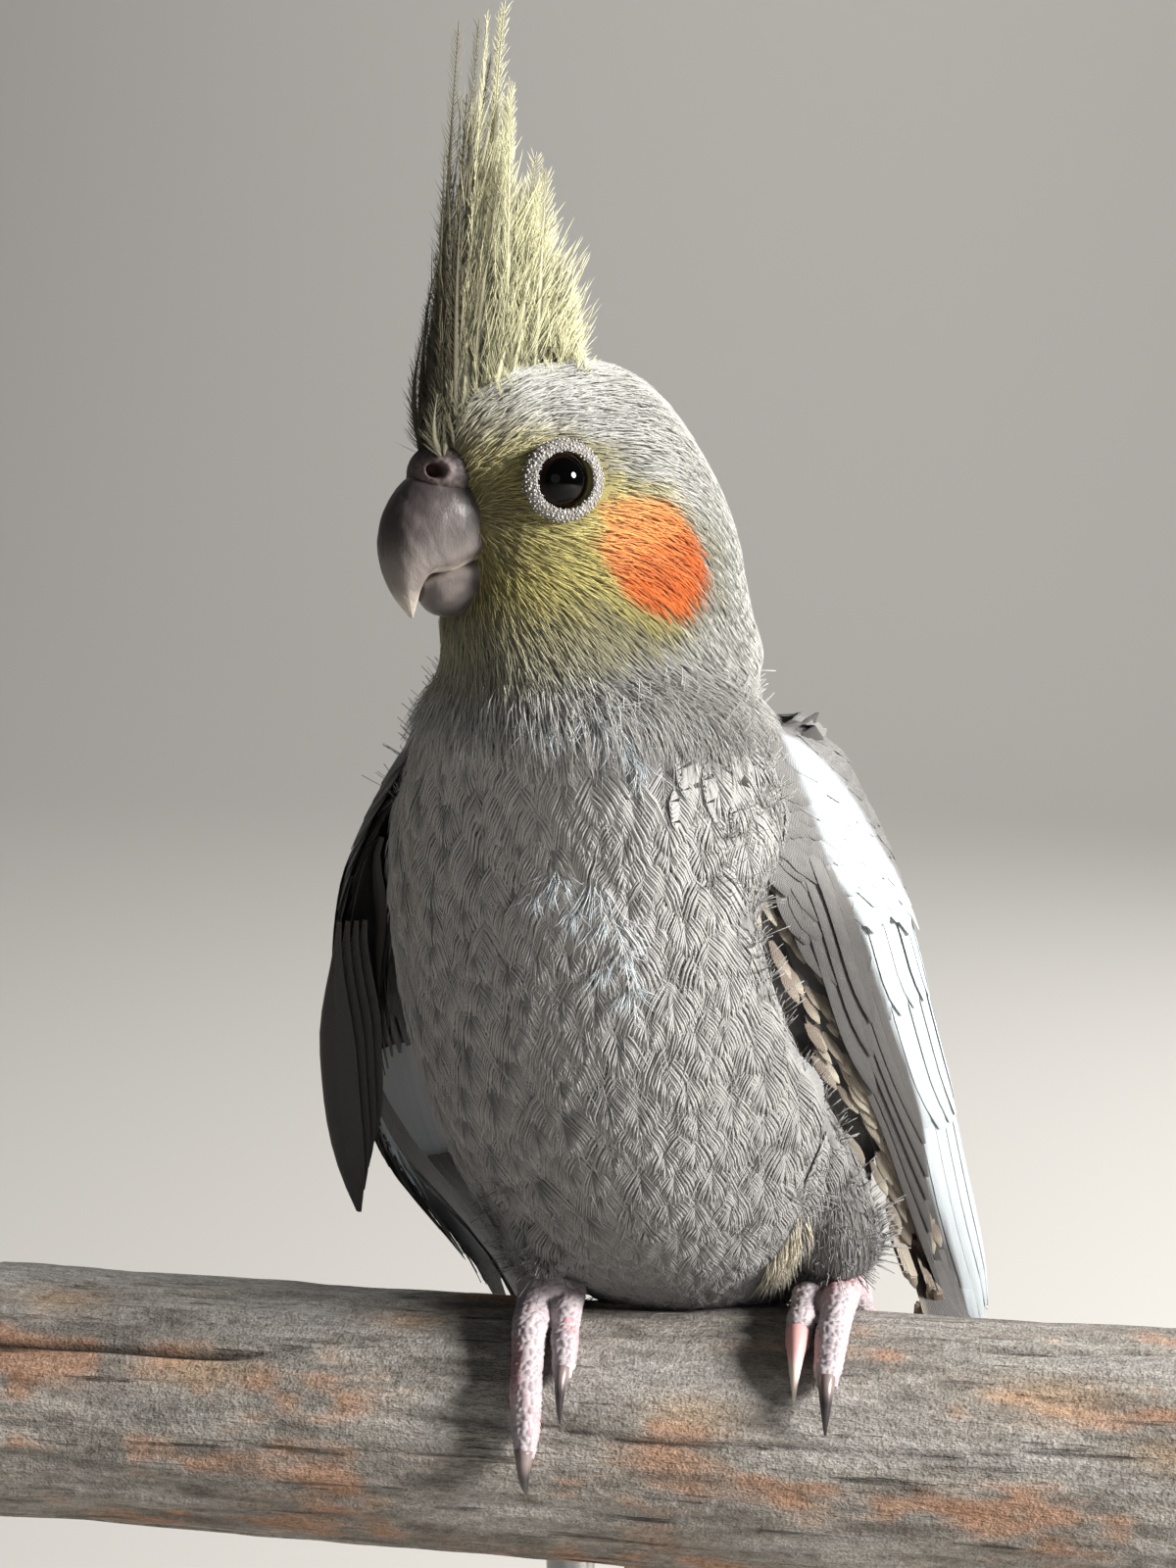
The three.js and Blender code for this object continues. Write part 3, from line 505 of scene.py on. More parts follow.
def coat(name, batches, material, nodes=(), crisp=False):
    """Joins batches of blades into as few pieces as keep under the limit of triangles. Crisp ones keep
    their sharp edges, so that a flat vane is shaded flat right to its edge."""
    groups = [[]]
    for batch in batches:
        if sum(b["triangles"] for b in groups[-1]) + batch["triangles"] > MOST_TRIANGLES and groups[-1]:
            groups.append([])
        groups[-1].append(batch)
    made = []
    for number, group in enumerate(groups):
        label = name if len(groups) == 1 else f"{name}_{number + 1}"
        offset = 0
        faces = []
        for batch in group:
            faces += [f + offset for f in batch["faces"]]
            offset += len(batch["points"])
        stack = {k: np.concatenate([b[k] for b in group]) for k in ("points", "tint", "vane", "bake")}
        piece = mesh_of(label, stack["points"], faces, stack["tint"], stack["vane"], stack["bake"])
        if crisp:
            piece.data.set_sharp_from_angle(angle=math.radians(50))
        made.append(settle(piece, material, nodes if number == 0 else ()))
    return made


def with_alpha(colour, alpha=0.0):
    return np.concatenate([colour, np.full((*colour.shape[:-1], 1), float(alpha))], -1)


# Markings of the plumage, by place on the body
GREY_CHEST = linear("#9b9997")
GREY_BACK = linear("#84827f")
GREY_NAPE = linear("#b0afaa")
OLIVE = linear("#87815f")
YELLOW = linear("#b3a863")
LORES = linear("#777050")
ORANGE = linear("#cd6a25")
ORANGE_LIGHT = linear("#e09a55")
WHITE = linear("#a9b0b4")
CREAM = linear("#aaa392")
# Hind edge of the yellow face: how far forward it is, by height from the eye
FACE_EDGE = np.array([
    [14, 8], [9, 4], [5.2, -2], [3.6, -7], [0.9, -9], [-1.8, -10], [-3.1, -14.5], [-7.8, -18.5],
    [-12.3, -19], [-17, -17], [-19.6, -12], [-21, -7], [-23.1, -1], [-24.4, 3], [-25.5, 12],
])
CHEEK = {"f": -10.9, "u": -8.7, "long": 7.9, "short": 5.6, "slope": 45}


def blend(a, b, weight):
    return a + (b - a) * np.asarray(weight)[..., None]


def paint(colour, *coats):
    """Colours laid over each other, each a hex code and its weight."""
    colour = linear(colour) if isinstance(colour, str) else colour
    for code, weight in coats:
        colour = blend(colour, linear(code), weight)
    return colour


def cheek_mask(points, spread=0.0):
    f, side, u = in_head(points)
    slope = math.radians(CHEEK["slope"])
    df, du = f - CHEEK["f"], u - CHEEK["u"]
    along = df * math.cos(slope) + du * math.sin(slope)
    across = du * math.cos(slope) - df * math.sin(slope)
    reach = np.hypot(along / (CHEEK["long"] + spread), across / (CHEEK["short"] + spread))
    ragged = 0.7 * clump(points * (1, 1, 0.5), 1.3, 5)
    return (1 - smooth(reach * 6.5 + ragged, 5.4, 7.4)) * smooth(side, 4, 7)


def plumage(points):
    """Colour of the coat at points of the body, as linear red, green and blue."""
    f, _, u = in_head(points)
    back = smooth(points[..., 1] - 0.33 * (60 - points[..., 2]), -6, 12)
    colour = blend(GREY_CHEST, GREY_BACK, back)
    # Painted shade: the coat is darkened towards the bottom of the body, down to 0.52 of its colour at the
    # lowest.
    colour = colour * mix(0.52, 1, smooth(points[..., 2], -6, 60))[..., None]
    colour = blend(colour, GREY_NAPE, smooth(points[..., 2], 72, 90))
    edge = np.interp(-u, -FACE_EDGE[:, 0], FACE_EDGE[:, 1])
    face = smooth(f - edge + 1.8 * clump(points, 3, 2), -4, 5)
    near = np.hypot(f - 2, u + 5)
    deep = blend(OLIVE, YELLOW, 0.8 * smooth(-near, -13, -6))
    deep = blend(deep, LORES, 0.7 * (1 - smooth(np.hypot(f - 9, u + 5), 2, 10)))
    deep = blend(deep, GREY_NAPE, 0.45 * smooth(-u, 14, 24))
    deep = blend(deep, GREY_NAPE, 0.55 * smooth(u, 2, 9))
    colour = blend(colour, deep, face)
    colour = blend(colour, YELLOW, 0.6 * smooth(cheek_mask(points, 2.6), 0.2, 0.9) * smooth(f, -17, -9))
    light = smooth(u + 0.5 * f + 3 * clump(points * (1, 1, 0.4), 1.0, 9), -17, -7)
    orange = blend(ORANGE, ORANGE_LIGHT, light)
    return blend(colour, orange, cheek_mask(points))


# Body form: the same sections as the solids, smoothed between
HEAD_SECTIONS = [
    (13.3, -2.0, -7.0, 2.2), (12.4, 3.6, -11.6, 6.4), (10.4, 7.8, -15.8, 9.6), (7.2, 11.2, -19.4, 11.9),
    (3.2, 11.6, -22.7, 13.1), (-1.5, 9.6, -25.6, 13.7), (-6.5, 8.2, -27.8, 14.0), (-11.5, 8.4, -29.0, 14.2),
    (-16.0, 9.7, -30.0, 14.6), (-21.0, 9.0, -31.6, 15.8),
]
TRUNK_SECTIONS = [
    ((-8.8, -14.6, 80), 38, 6, 19.8, 17.4, 22), ((-9.0, -11.8, 73), 22, 12, 20.6, 17.5, 26.2),
    ((-8.4, -8.4, 64), 12, 15, 22, 18.5, 28.4), ((-6.9, -5.0, 52), 8, 16, 24, 19.5, 29.8),
    ((-5.5, -1.6, 39), 6, 18, 24.4, 20, 29.8), ((-4.2, 2.8, 26), 5, 22, 23, 19.6, 28),
    ((-2.8, 8.0, 14), 4, 27, 18.5, 18, 25), ((-0.8, 13.4, 4.5), 3, 31, 13, 15, 19.6),
    ((0.7, 18.6, -3), 2, 33, 8.5, 11.5, 14), ((1.5, 22.2, -9), 0, 29, 6.2, 8.2, 10.4),
    ((1.5, 26.6, -19), 0, 25, 5.4, 6.2, 9.8), ((1.5, 31.6, -30), 0, 25, 4.4, 4.6, 8.8),
]
HEAD_CENTRE = -10


def section_ring(centre, ahead, aside, reach, angle, power, start):
    front, back, side = reach
    turned = angle + start
    c, s = np.cos(turned), np.sin(turned)
    out = np.sign(c) * np.abs(c) ** (2 / power) * np.where(c > 0, front, back)
    wide = np.sign(s) * np.abs(s) ** (2 / power) * side
    return centre + out[:, None] * ahead + wide[:, None] * aside


def body_rings(angle, inside):
    rings = []
    for u, front, back, side in HEAD_SECTIONS:
        power = mix(2, 2.25, smooth(-u, -8, 6))
        reach = (front - HEAD_CENTRE - inside, HEAD_CENTRE - back - inside, max(side - inside, 1))
        rings.append(section_ring(on_head(HEAD_CENTRE, 0, u), FORWARD, LEFTWARD, reach, angle, power, turn))
    for at, twist, lean, front, back, side in TRUNK_SECTIONS:
        a, b = math.radians(twist), math.radians(lean)
        aside = np.array([math.cos(a), -math.sin(a), 0])
        ahead = np.array([-math.sin(a) * math.cos(b), -math.cos(a) * math.cos(b), -math.sin(b)])
        reach = (front - inside, back - inside, side - inside)
        rings.append(section_ring(np.array(at, float), ahead, aside, reach, angle, 2.1, a))
    return np.array(rings)


def body_form(share, angle):
    """Smooth body from crown to tail root, with both ends rounded shut."""
    grid = np.linspace(-math.pi, math.pi, 241)
    rings = body_rings(grid, COAT_DEPTH)
    line = curve(rings.reshape(len(rings), -1))
    place, shut = capped(share, 0.03)
    levels = np.unique(place)
    table = line(levels).reshape(len(levels), len(grid), 3)
    row = np.searchsorted(levels, place)
    column = (angle + math.pi) / (2 * math.pi) * (len(grid) - 1)
    low = np.minimum(column.astype(int), len(grid) - 2)
    part = (column - low)[:, None]
    spot = table[row, low] * (1 - part) + table[row, low + 1] * part
    middle = table[row].mean(1)
    return middle + (spot - middle) * shut[:, None]


COAT_DEPTH = 1.1
LEG_SECTIONS = [
    (0.8, 3.4, 27, 8.4, 9.4), (0.92, 1.6, 20, 9.6, 10.6), (0.99, 0.6, 13, 8.8, 9.8),
    (1.02, 0, 7.6, 6.8, 7.4), (1.02, -0.3, 5.0, 4.8, 5.6),
]


def perch_radius(x, angle):
    swell = 0.35 * np.sin(x / 21 + 1) + 0.25 * np.sin(x / 9)
    return PERCH_RADIUS + swell * 0.6 + 0.3 * np.sin(3 * angle + x / 30)


def outward(angle):
    """Unit vector away from the log's middle line, by angle from its top towards the front."""
    return np.stack([0 * angle, -np.sin(angle), np.cos(angle)], -1)


def round_perch(points):
    """Angle of points round the log, from its top towards the front."""
    return np.arctan2(-points[:, 1], points[:, 2] + PERCH_RADIUS)


def over_perch(x, angle, out):
    reach = perch_radius(x, angle) + out
    return np.stack([x + 0 * reach, -np.sin(angle) * reach, np.cos(angle) * reach - PERCH_RADIUS], -1)


def thigh_form(foot):
    top = over_perch(foot["x"], math.radians(foot["ball"]), 0)[1]
    centres = np.array([[foot["x"] * a, top + b, z] for a, b, z, _, _ in LEG_SECTIONS])
    reach = np.array([[wide, deep] for _, _, _, wide, deep in LEG_SECTIONS]) - COAT_DEPTH
    centre_line, reach_line = curve(centres), curve(reach)

    def form(share, angle):
        place, shut = capped(share, 0.12)
        size = reach_line(place) * shut[:, None]
        out = np.stack([np.cos(angle) * size[:, 0], np.sin(angle) * size[:, 1], 0 * angle], -1)
        return centre_line(place) + out

    return form


def lores_form(way):
    """Full plumage between eye and bill, which laps over the bill's root."""
    def form(share, angle):
        polar = share * math.pi
        f = 4.4 + 3.4 * np.sin(polar) * np.cos(angle)
        side = way * 4.6 + 2.4 * np.sin(polar) * np.sin(angle)
        return on_head(f, side, -3.4 + 6 * np.cos(polar))
    return form


def search_tree(spots):
    tree = KDTree(len(spots))
    for i, spot in enumerate(spots):
        tree.insert(spot, i)
    tree.balance()
    return tree


class WingMap:
    """Finds how high points lie over the outer side of a folded wing, and how far beside it."""

    def __init__(self):
        spots, normals, shares = [], [], []
        for wing in WINGS.values():
            grid = np.meshgrid(np.linspace(0, 0.66, 90), np.linspace(0, 1, 70), indexing="ij")
            s, c = (a.ravel() for a in grid)
            spots.append(wing_spot(wing, s, c))
            normals.append(wing_normal(wing, s, c))
            shares.append(np.stack([s, c], -1))
        self.spots = np.concatenate(spots)
        self.normals = np.concatenate(normals)
        self.shares = np.concatenate(shares)
        self.tree = search_tree(self.spots)

    def find(self, points):
        nearest = np.array([self.tree.find(point)[1] for point in points])
        away = points - self.spots[nearest]
        normal = self.normals[nearest]
        height = np.sum(away * normal, -1)
        beside = np.linalg.norm(away - normal * height[:, None], axis=1)
        return height, beside, normal, self.shares[nearest]

    def covered(self, shares):
        """Share from 0 to 1 by which the wing lies over the body: its upper front edge is tucked in."""
        s, c = shares[:, 0], shares[:, 1]
        return smooth(c - 0.15 * (1 - smooth(s, 0.08, 0.24)), -0.06, 0.02) * smooth(s, 0, 0.04)

    def under(self, points):
        """True where a wing lies over the body."""
        height, beside, _, shares = self.find(points)
        return (height > -WING_ROOM - 1.5) & (beside < 0.9) & (self.covered(shares) > 0.5)


WING_ROOM = 6.4


def make_skin(wings):
    body = shape(ball("skin", 96, 160), body_form)
    parts = [shape(ball(f"thigh_{side}", 32, 24), thigh_form(foot)) for side, foot in FEET.items()]
    parts += [shape(ball(f"lores_{way + 1}", 24, 24), lores_form(way)) for way in (-1, 1)]
    skin = fuse([body, *parts], "skin", 0.8, 6)
    co = place_of(skin)
    height, beside, normal, shares = wings.find(co)
    near_edge = mix(4.4, WING_ROOM, smooth(shares[:, 1], 0.05, 0.2))
    room = mix(near_edge, WING_ROOM, smooth(shares[:, 0], 0.2, 0.32))
    sink = np.clip(height + room, 0, 12) * (1 - smooth(beside, 0, 2.0)) * wings.covered(shares)
    move(skin, co - normal * sink[:, None])
    apply_modifier(skin, "SMOOTH", factor=0.5, iterations=3)
    # Painted shade: the skin carries the coat's markings darkened to 0.7, for the shade under the feathers.
    tint_points(skin, plumage(place_of(skin)) * 0.7)
    bake_map(skin)
    return settle(skin, MATERIAL["skin"], ["head", "neck", "torso", "leg_left", "leg_right"])


# Middle line of trunk and head, from below
HEAD_STOPS = [tuple(on_head(ahead, 0, u)) for ahead, u in ((HEAD_CENTRE, 0), (-5, 14))]
AXIS = np.array([section[0] for section in TRUNK_SECTIONS[::-1]] + HEAD_STOPS)


def bake_place(points):
    """Place on the unwrap of the body: round it, and down it."""
    x = np.interp(points[..., 2], AXIS[:, 2], AXIS[:, 0])
    y = np.interp(points[..., 2], AXIS[:, 2], AXIS[:, 1])
    around = (np.arctan2(points[..., 0] - x, -(points[..., 1] - y)) / (2 * math.pi)) + 0.5
    down = (points[..., 2] + 40) / 180
    return np.stack([0.02 + 0.56 * around, 0.02 + 0.96 * down], -1)


def bake_map(piece):
    """The same unwrap for the skin itself, closed at the seam down its back."""
    mesh = piece.data
    corners = np.empty(len(mesh.loops), np.int32)
    mesh.loops.foreach_get("vertex_index", corners)
    starts = np.empty(len(mesh.polygons), np.int32)
    mesh.polygons.foreach_get("loop_start", starts)
    uv = bake_place(place_of(piece))[corners]
    high = np.maximum.reduceat(uv[:, 0], starts)
    low = np.minimum.reduceat(uv[:, 0], starts)
    sizes = np.diff(np.append(starts, len(corners)))
    torn = np.repeat(high - low > 0.28, sizes) & (uv[:, 0] < 0.3)
    uv[torn, 0] += 0.56
    layer = mesh.uv_layers.new(name="OFBake")
    layer.data.foreach_set("uv", uv.astype(np.float32).ravel())


class Skin:
    """Finds places on the skin, and the way that the feathers lie there."""

    def __init__(self, piece):
        faces = [tuple(p.vertices) for p in piece.data.polygons]
        self.tree = BVHTree.FromPolygons([tuple(p) for p in place_of(piece)], faces)
        self.centres = from_scene(triples(piece.data.polygons, "center"))

    def nearest(self, points):
        spots = np.empty_like(points)
        normals = np.empty_like(points)
        for i, point in enumerate(points):
            spot, normal, _, _ = self.tree.find_nearest(point)
            spots[i] = spot
            normals[i] = normal
        return spots, normals

    def scatter(self, rng, keep, spacing, dense=1):
        """Places at least a spacing apart, where keep says so."""
        chosen = np.flatnonzero(keep(self.centres))
        chosen = np.tile(chosen, dense)
        rng.shuffle(chosen)
        spots = self.centres[chosen] + rng.uniform(-0.4, 0.4, (len(chosen), 3))
        tree = search_tree(spots)
        gaps = spacing(spots) if callable(spacing) else np.full(len(spots), spacing)
        free = np.ones(len(spots), bool)
        taken = []
        for i in range(len(spots)):
            if free[i]:
                taken.append(i)
                for _, j, _ in tree.find_range(spots[i], gaps[i]):
                    free[j] = False
        return self.nearest(spots[taken])

    def walk(self, spots, normals, length, stations, veer):
        """Paths down the lie of the coat, with the skin's normal at each stop."""
        path = [spots]
        ups = [normals]
        step = (length / (stations - 1))[:, None]
        for _ in range(stations - 1):
            heading = lie(path[-1], ups[-1])
            heading = heading + np.cross(ups[-1], heading) * veer[:, None]
            spot, up = self.nearest(path[-1] + heading * step)
            path.append(spot)
            ups.append(unit(ups[-1] + up))
        return np.stack(path, 1), np.stack(ups, 1)


def lie(points, normals):
    """The way that feathers point: out from the bill over the head, then down the body."""
    f, side, u = in_head(points)
    ahead, high = f - 9, u + 4
    reach = np.hypot(ahead, high) + 1e-6
    far = smooth(reach, 8, 45)
    pull = 0.6 * (0.15 + 0.85 * smooth(high, -12, -2))
    df = (1 - far) * (0.6 * ahead / reach - pull) - far * 0.35
    du = (1 - far) * 0.6 * high / reach - far * 0.94 - 0.12
    ds = 0.03 * side * (1 - far)
    head = df[..., None] * FORWARD + ds[..., None] * LEFTWARD + du[..., None] * UP
    trunk = np.broadcast_to(np.array([0.09, 0.38, -0.92]), points.shape).copy()
    middle = -9 + 0.1 * (80 - points[..., 2])
    trunk[..., 0] -= 0.16 * np.tanh((points[..., 0] - middle) / 12) * smooth(-points[..., 1], -5, 10)
    way = blend(trunk, unit(head), smooth(points[..., 2], 74, 88))
    way = way - normals * np.sum(way * normals, -1, keepdims=True)
    return unit(way)


def between(values, index):
    """Values of each row at stops that lie between its whole-numbered ones, one index a row or for all."""
    low = np.clip(np.asarray(index).astype(int), 0, values.shape[1] - 2)
    part = np.asarray(index) - low
    rows = np.arange(len(values))[:, None]
    part = part.reshape(part.shape + (1,) * (values.ndim - 2))
    return values[rows, low] * (1 - part) + values[rows, low + 1] * part


def spread(rng, count, amount):
    return 1 + rng.uniform(-amount, amount, count)


def contour_feathers(skin, rng, spots, normals, long, wide, pairs):
    """Body feathers: a thin vane, and over it fine barbs that fan out from the shaft to the round tip."""
    count = len(spots)
    length = long * spread(rng, count, 0.1)
    half = (wide * spread(rng, count, 0.1))[:, None]
    path, ups = skin.walk(spots, normals, length, 6, rng.normal(0, 0.07, count))
    t = np.linspace(0, 1, 6)
    path = path + ups * (mix(0.05, 0.25, t)[None] * spread(rng, count, 0.25)[:, None])[..., None]
    side = np.cross(unit(np.gradient(path, axis=1)), ups)
    base = plumage(path[:, 4]) * spread(rng, count, 0.05)[:, None] * (1 + 0.05 * clump(spots, 9, 3))[:, None]
    uv = bake_place(spots)
    turned = np.radians(np.linspace(84, 4, pairs))
    turned = np.concatenate([-turned, turned]) + rng.normal(0, 0.015, (count, 2 * pairs))

    bare = np.abs(turned) / np.radians(84)
    start = between(path, 5 * (0.06 + 0.76 * (1 - bare) ** 1.2))
    across = side[:, 4][:, None] * (np.sin(turned) * half)[..., None]
    reach = 0.55 + 0.45 * np.cos(turned) * rng.uniform(0.93, 1.05, turned.shape)
    aim = (between(path, 5 * reach) + across).reshape(-1, 3)
    end, out = skin.nearest(aim)
    moved = np.linalg.norm(end - aim, axis=-1)
    whole = (moved.reshape(count, -1) < 1.3).mean(1) > 0.93
    level = (moved < 1.7) & np.repeat(whole, 2 * pairs)
    total = count * 2 * pairs
    end = end + out * (0.17 + rng.normal(0, 0.04, total))[:, None]
    end = end.reshape(start.shape)
    middle = (start + end) / 2 + across * 0.14 + ups[:, 3][:, None] * 0.22
    line = np.stack([start, middle, end], 2).reshape(total, 3, 3)
    thin = np.repeat(0.8 * half / pairs, 2 * pairs, 0) * np.array([0.7, 1, 0.35])
    pale = mix(1.06, 1.3, 1 - smooth(spots[:, 2], 20, 55))[:, None]
    shades = np.stack([0.93 + 0 * pale, 0.98 + 0 * pale, pale], -1)
    tint = np.repeat(base[:, None] * shades.reshape(count, 3, 1), 2 * pairs, 0)
    tint = tint * rng.uniform(0.94, 1.05, (total, 1, 1))
    cross = np.cross(np.repeat(ups[:, 3], 2 * pairs, 0), line[:, 2] - line[:, 0])
    cross = np.repeat(cross[:, None], 3, 1)
    width = half * 0.86 * vane_width(t, 0.3, 0.35, 0.5, 1, 0.02)
    bed = with_alpha(np.repeat(base[whole, None] * 0.95, 6, 1))
    thick = np.full_like(width[whole], 0.03)
    vane = blades((path - ups * 0.1)[whole], -side[whole], width[whole], thick, lens(3), bed, uv[whole], 0.09)
    uv = np.repeat(uv, 2 * pairs, 0)[level]
    line, cross, thin, tint = line[level], cross[level], thin[level], tint[level]
    barbs = blades(line, cross, thin, thin * 0.22, THREAD, with_alpha(tint), uv)
    return [vane, barbs], np.flatnonzero(~whole)


def strands(skin, rng, spots, normals, long, half, lift, each, colour=None, fan=0.16, curl=0.0, depth=0.82,
            contrast=1.0, scatter=0.2):
    """Hair-like barbs in small tufts, a few from each root."""
    def for_each(value):
        return np.repeat(value, each) if np.ndim(value) else np.full(count, value)

    count = len(spots) * each
    spots = np.repeat(spots, each, 0) + rng.normal(0, scatter, (count, 3))
    normals = np.repeat(normals, each, 0)
    length = for_each(long) * spread(rng, count, 0.3)
    path, ups = skin.walk(spots, normals, length, 4, rng.normal(0, fan, count))
    base = plumage(path[:, 2]) if colour is None else np.broadcast_to(colour, spots.shape)
    t = np.linspace(0, 1, 4)
    stand = for_each(lift) * spread(rng, count, 0.45)
    path = path + ups * (mix(-0.4, 1, smooth(t, 0, 0.9))[None] * np.maximum(stand, 0.2)[:, None])[..., None]
    side = np.cross(unit(np.gradient(path, axis=1)), ups)
    path = path + side * (curl * rng.normal(0, 1, count)[:, None] * t ** 2)[..., None]
    varied = np.repeat(rng.uniform(-0.2, 0.14, count // each), each) + rng.uniform(-0.1, 0.1, count)
    contrast = for_each(contrast)
    base = base * (1 + contrast * (varied + 0.12 * clump(spots, 1.6, 17)))[:, None]
    rooted = (1 - smooth(t, 0.05, 0.9)) * (1.1 - depth)
    tint = with_alpha(base[:, None] * (1.1 - contrast[:, None] * rooted)[..., None])
    width = half * spread(rng, count, 0.3)[:, None] * np.array([0.8, 1, 0.8, 0.16])
    return blades(path, -side, width, width * 0.6, THREAD, tint, bake_place(spots))


def make_trunk(skin, wings):
    rng = np.random.default_rng(11)

    def trunk(p):
        tail = np.linalg.norm(p - TAIL_ROOT - 22 * TAIL_DOWN, axis=1) > 9
        return (p[:, 2] < 84) & tail & ~wings.under(p)

    def spacing(p):
        return mix(2.7, 4.0, smooth(p[:, 2], 6, 24)) - 0.5 * smooth(p[:, 2], 66, 80)

    spots, normals = skin.scatter(rng, trunk, spacing)
    way, ups = skin.walk(spots, normals, np.full(len(spots), 11.0), 4, np.zeros(len(spots)))
    level = np.sum(ups * normals[:, None], -1).min(1) > 0.72
    straight = np.linalg.norm(way[:, -1] - spots, axis=-1) > 10.1
    flat = level & straight
    across = np.cross(unit(way[:, 2] - way[:, 1]), ups[:, 2])
    for half in (-4.6, 4.6):
        aim = way[:, 2] + across * half
        flat &= np.linalg.norm(skin.nearest(aim)[0] - aim, axis=-1) < 1.5
    clear = ~wings.under(way[:, -1]) | (spots[:, 2] < 60)
    folded = ~flat & clear
    fold_spots, fold_normals = spots[folded], normals[folded]
    spots, normals = spots[flat & clear], normals[flat & clear]
    high = smooth(spots[:, 2], 6, 24)
    long, wide = mix(8, 13.5, high), mix(3.0, 5.2, high)
    batches = []
    front = spots[:, 1] < 6
    for chosen, pairs in ((front, 22), (~front, 9)):
        for part in np.array_split(np.flatnonzero(chosen), 4):
            sizes = long[part], wide[part], pairs
            made, lost = contour_feathers(skin, rng, spots[part], normals[part], *sizes)
            batches += made
            fold_spots = np.concatenate([fold_spots, spots[part[lost]]])
            fold_normals = np.concatenate([fold_normals, normals[part[lost]]])
    # Loose barbs that break up the edges of the feathers
    loose, up = skin.scatter(rng, trunk, 2.4)
    batches.append(strands(skin, rng, loose, up, 5.5, 0.075, 0.45, 3, fan=0.14, curl=0.3, depth=0.98,
                           contrast=0.4))
    # Where a whole feather would fold, in the creases by the wings and thighs, loose barbs lie instead
    batches.append(strands(skin, rng, fold_spots, fold_normals, 3.6, 0.09, 0.05, 56, fan=0.15, depth=0.95,
                           contrast=0.5, scatter=1.5))
    # Cream tuft over the left foot
    roots = np.array([15.5, -8.5, 13]) + rng.normal(0, 1.0, (50, 3)) * (0.8, 0.4, 3.2)
    roots, up = skin.nearest(roots)
    batches.append(strands(skin, rng, roots, up, 9.0, 0.1, 1.4, 4, CREAM * 1.4, fan=0.13, curl=0.4))
    coat("trunk_feathers", batches, MATERIAL["hair"])


def make_head(skin):
    rng = np.random.default_rng(23)

    def face(p):
        f, side, u = in_head(p)
        eye = np.hypot(f, u) > mix(4.5, 5.0, smooth(f, -1, 2))
        bill = (f < 9.2) | (u > 3.5) | (u < -15)
        mouth = (f < 6) | (np.abs(side) > 3) | (u > 3.5) | (u < -15)
        return (p[:, 2] > 80) & (eye | (np.abs(side) < 8)) & bill & mouth

    spots, normals = skin.scatter(rng, face, lambda p: 0.72 + 0.22 * smooth(-p[:, 2], -92, -76), dense=4)
    f, side, u = in_head(spots)
    near = np.maximum(1 - smooth(np.hypot(f - 9, u + 4), 4, 14), 1 - smooth(np.hypot(f, u), 5, 8))
    hind = smooth(-f, 8, 20)
    long = 5.0 - 2.4 * near + 1.6 * smooth(-u, 12, 26)
    lift = 0.6 - 0.3 * near + 0.35 * smooth(-u, 14, 26) * (1 - hind) - 0.2 * hind
    collar = np.exp(-((spots[:, 2] - 84.5) / 2) ** 2) * smooth(-spots[:, 1], -4, 12)
    lift = lift + 0.9 * collar
    long = long + 2.0 * collar
    edge = np.interp(-u, -FACE_EDGE[:, 0], FACE_EDGE[:, 1])
    contrast = mix(0.45, 1, smooth(f - edge, -6, 3))
    batches = []
    for i in np.array_split(np.arange(len(spots)), 8):
        batches.append(strands(skin, rng, spots[i], normals[i], long[i], 0.09, lift[i], 4, depth=0.66,
                               contrast=contrast[i]))
    coat("head_feathers", batches, MATERIAL["hair"])


# White down that shows where the breast feathers part: its root and how long its filaments are
DOWN_TUFTS = [
    ((-11.9, -32.5, 81), 6.5), ((-10.0, -32.6, 80.5), 5.0), ((-7.0, -32.7, 82.5), 8.0),
    ((-5.8, -32.7, 81.5), 6.5), ((-3.0, -32.8, 78.5), 4.5), ((-17.5, -28.9, 80), 5.0),
    ((-19.5, -27.5, 78.5), 4.0), ((-1.2, -31, 76.5), 4.0), ((-10.6, -30.4, 63), 5.5),
    ((-9.0, -30.0, 58.5), 5.0), ((-6.3, -30.6, 62), 6.5), ((-4.6, -30.2, 58), 6.5),
    ((-3.2, -29.6, 54), 6.0), ((-5.4, -29.4, 52), 4.5), ((-2.2, -28.6, 49.5), 5.5), ((-13.5, -29.8, 60), 4.0),
]


def make_down(skin):
    rng = np.random.default_rng(5)
    roots, up = skin.nearest(np.array([place for place, _ in DOWN_TUFTS], float))
    long = np.array([reach for _, reach in DOWN_TUFTS])
    batches = []
    for share, fan, lift, each in ((0.4, 0.8, 0.9, 8), (0.75, 0.4, 1.5, 12), (1.0, 0.25, 1.1, 4)):
        reach = long * share
        batches.append(strands(skin, rng, roots, up, reach, 0.06, lift, each, WHITE * 1.35, fan, 0.9, 0.8))
    coat("white_down", batches, MATERIAL["hair"])


# Crest
def crown_height(f):
    """Height of the crown over the eye, by place ahead of it."""
    round_off = np.where(f > -4, 0.047 * np.where(f > 6, 0.8, 0.7), 0.06)
    return 13.2 - round_off * (f + 4) ** 2


# Height above the eye that no tip passes, in mm
CREST_TOP = 53.7


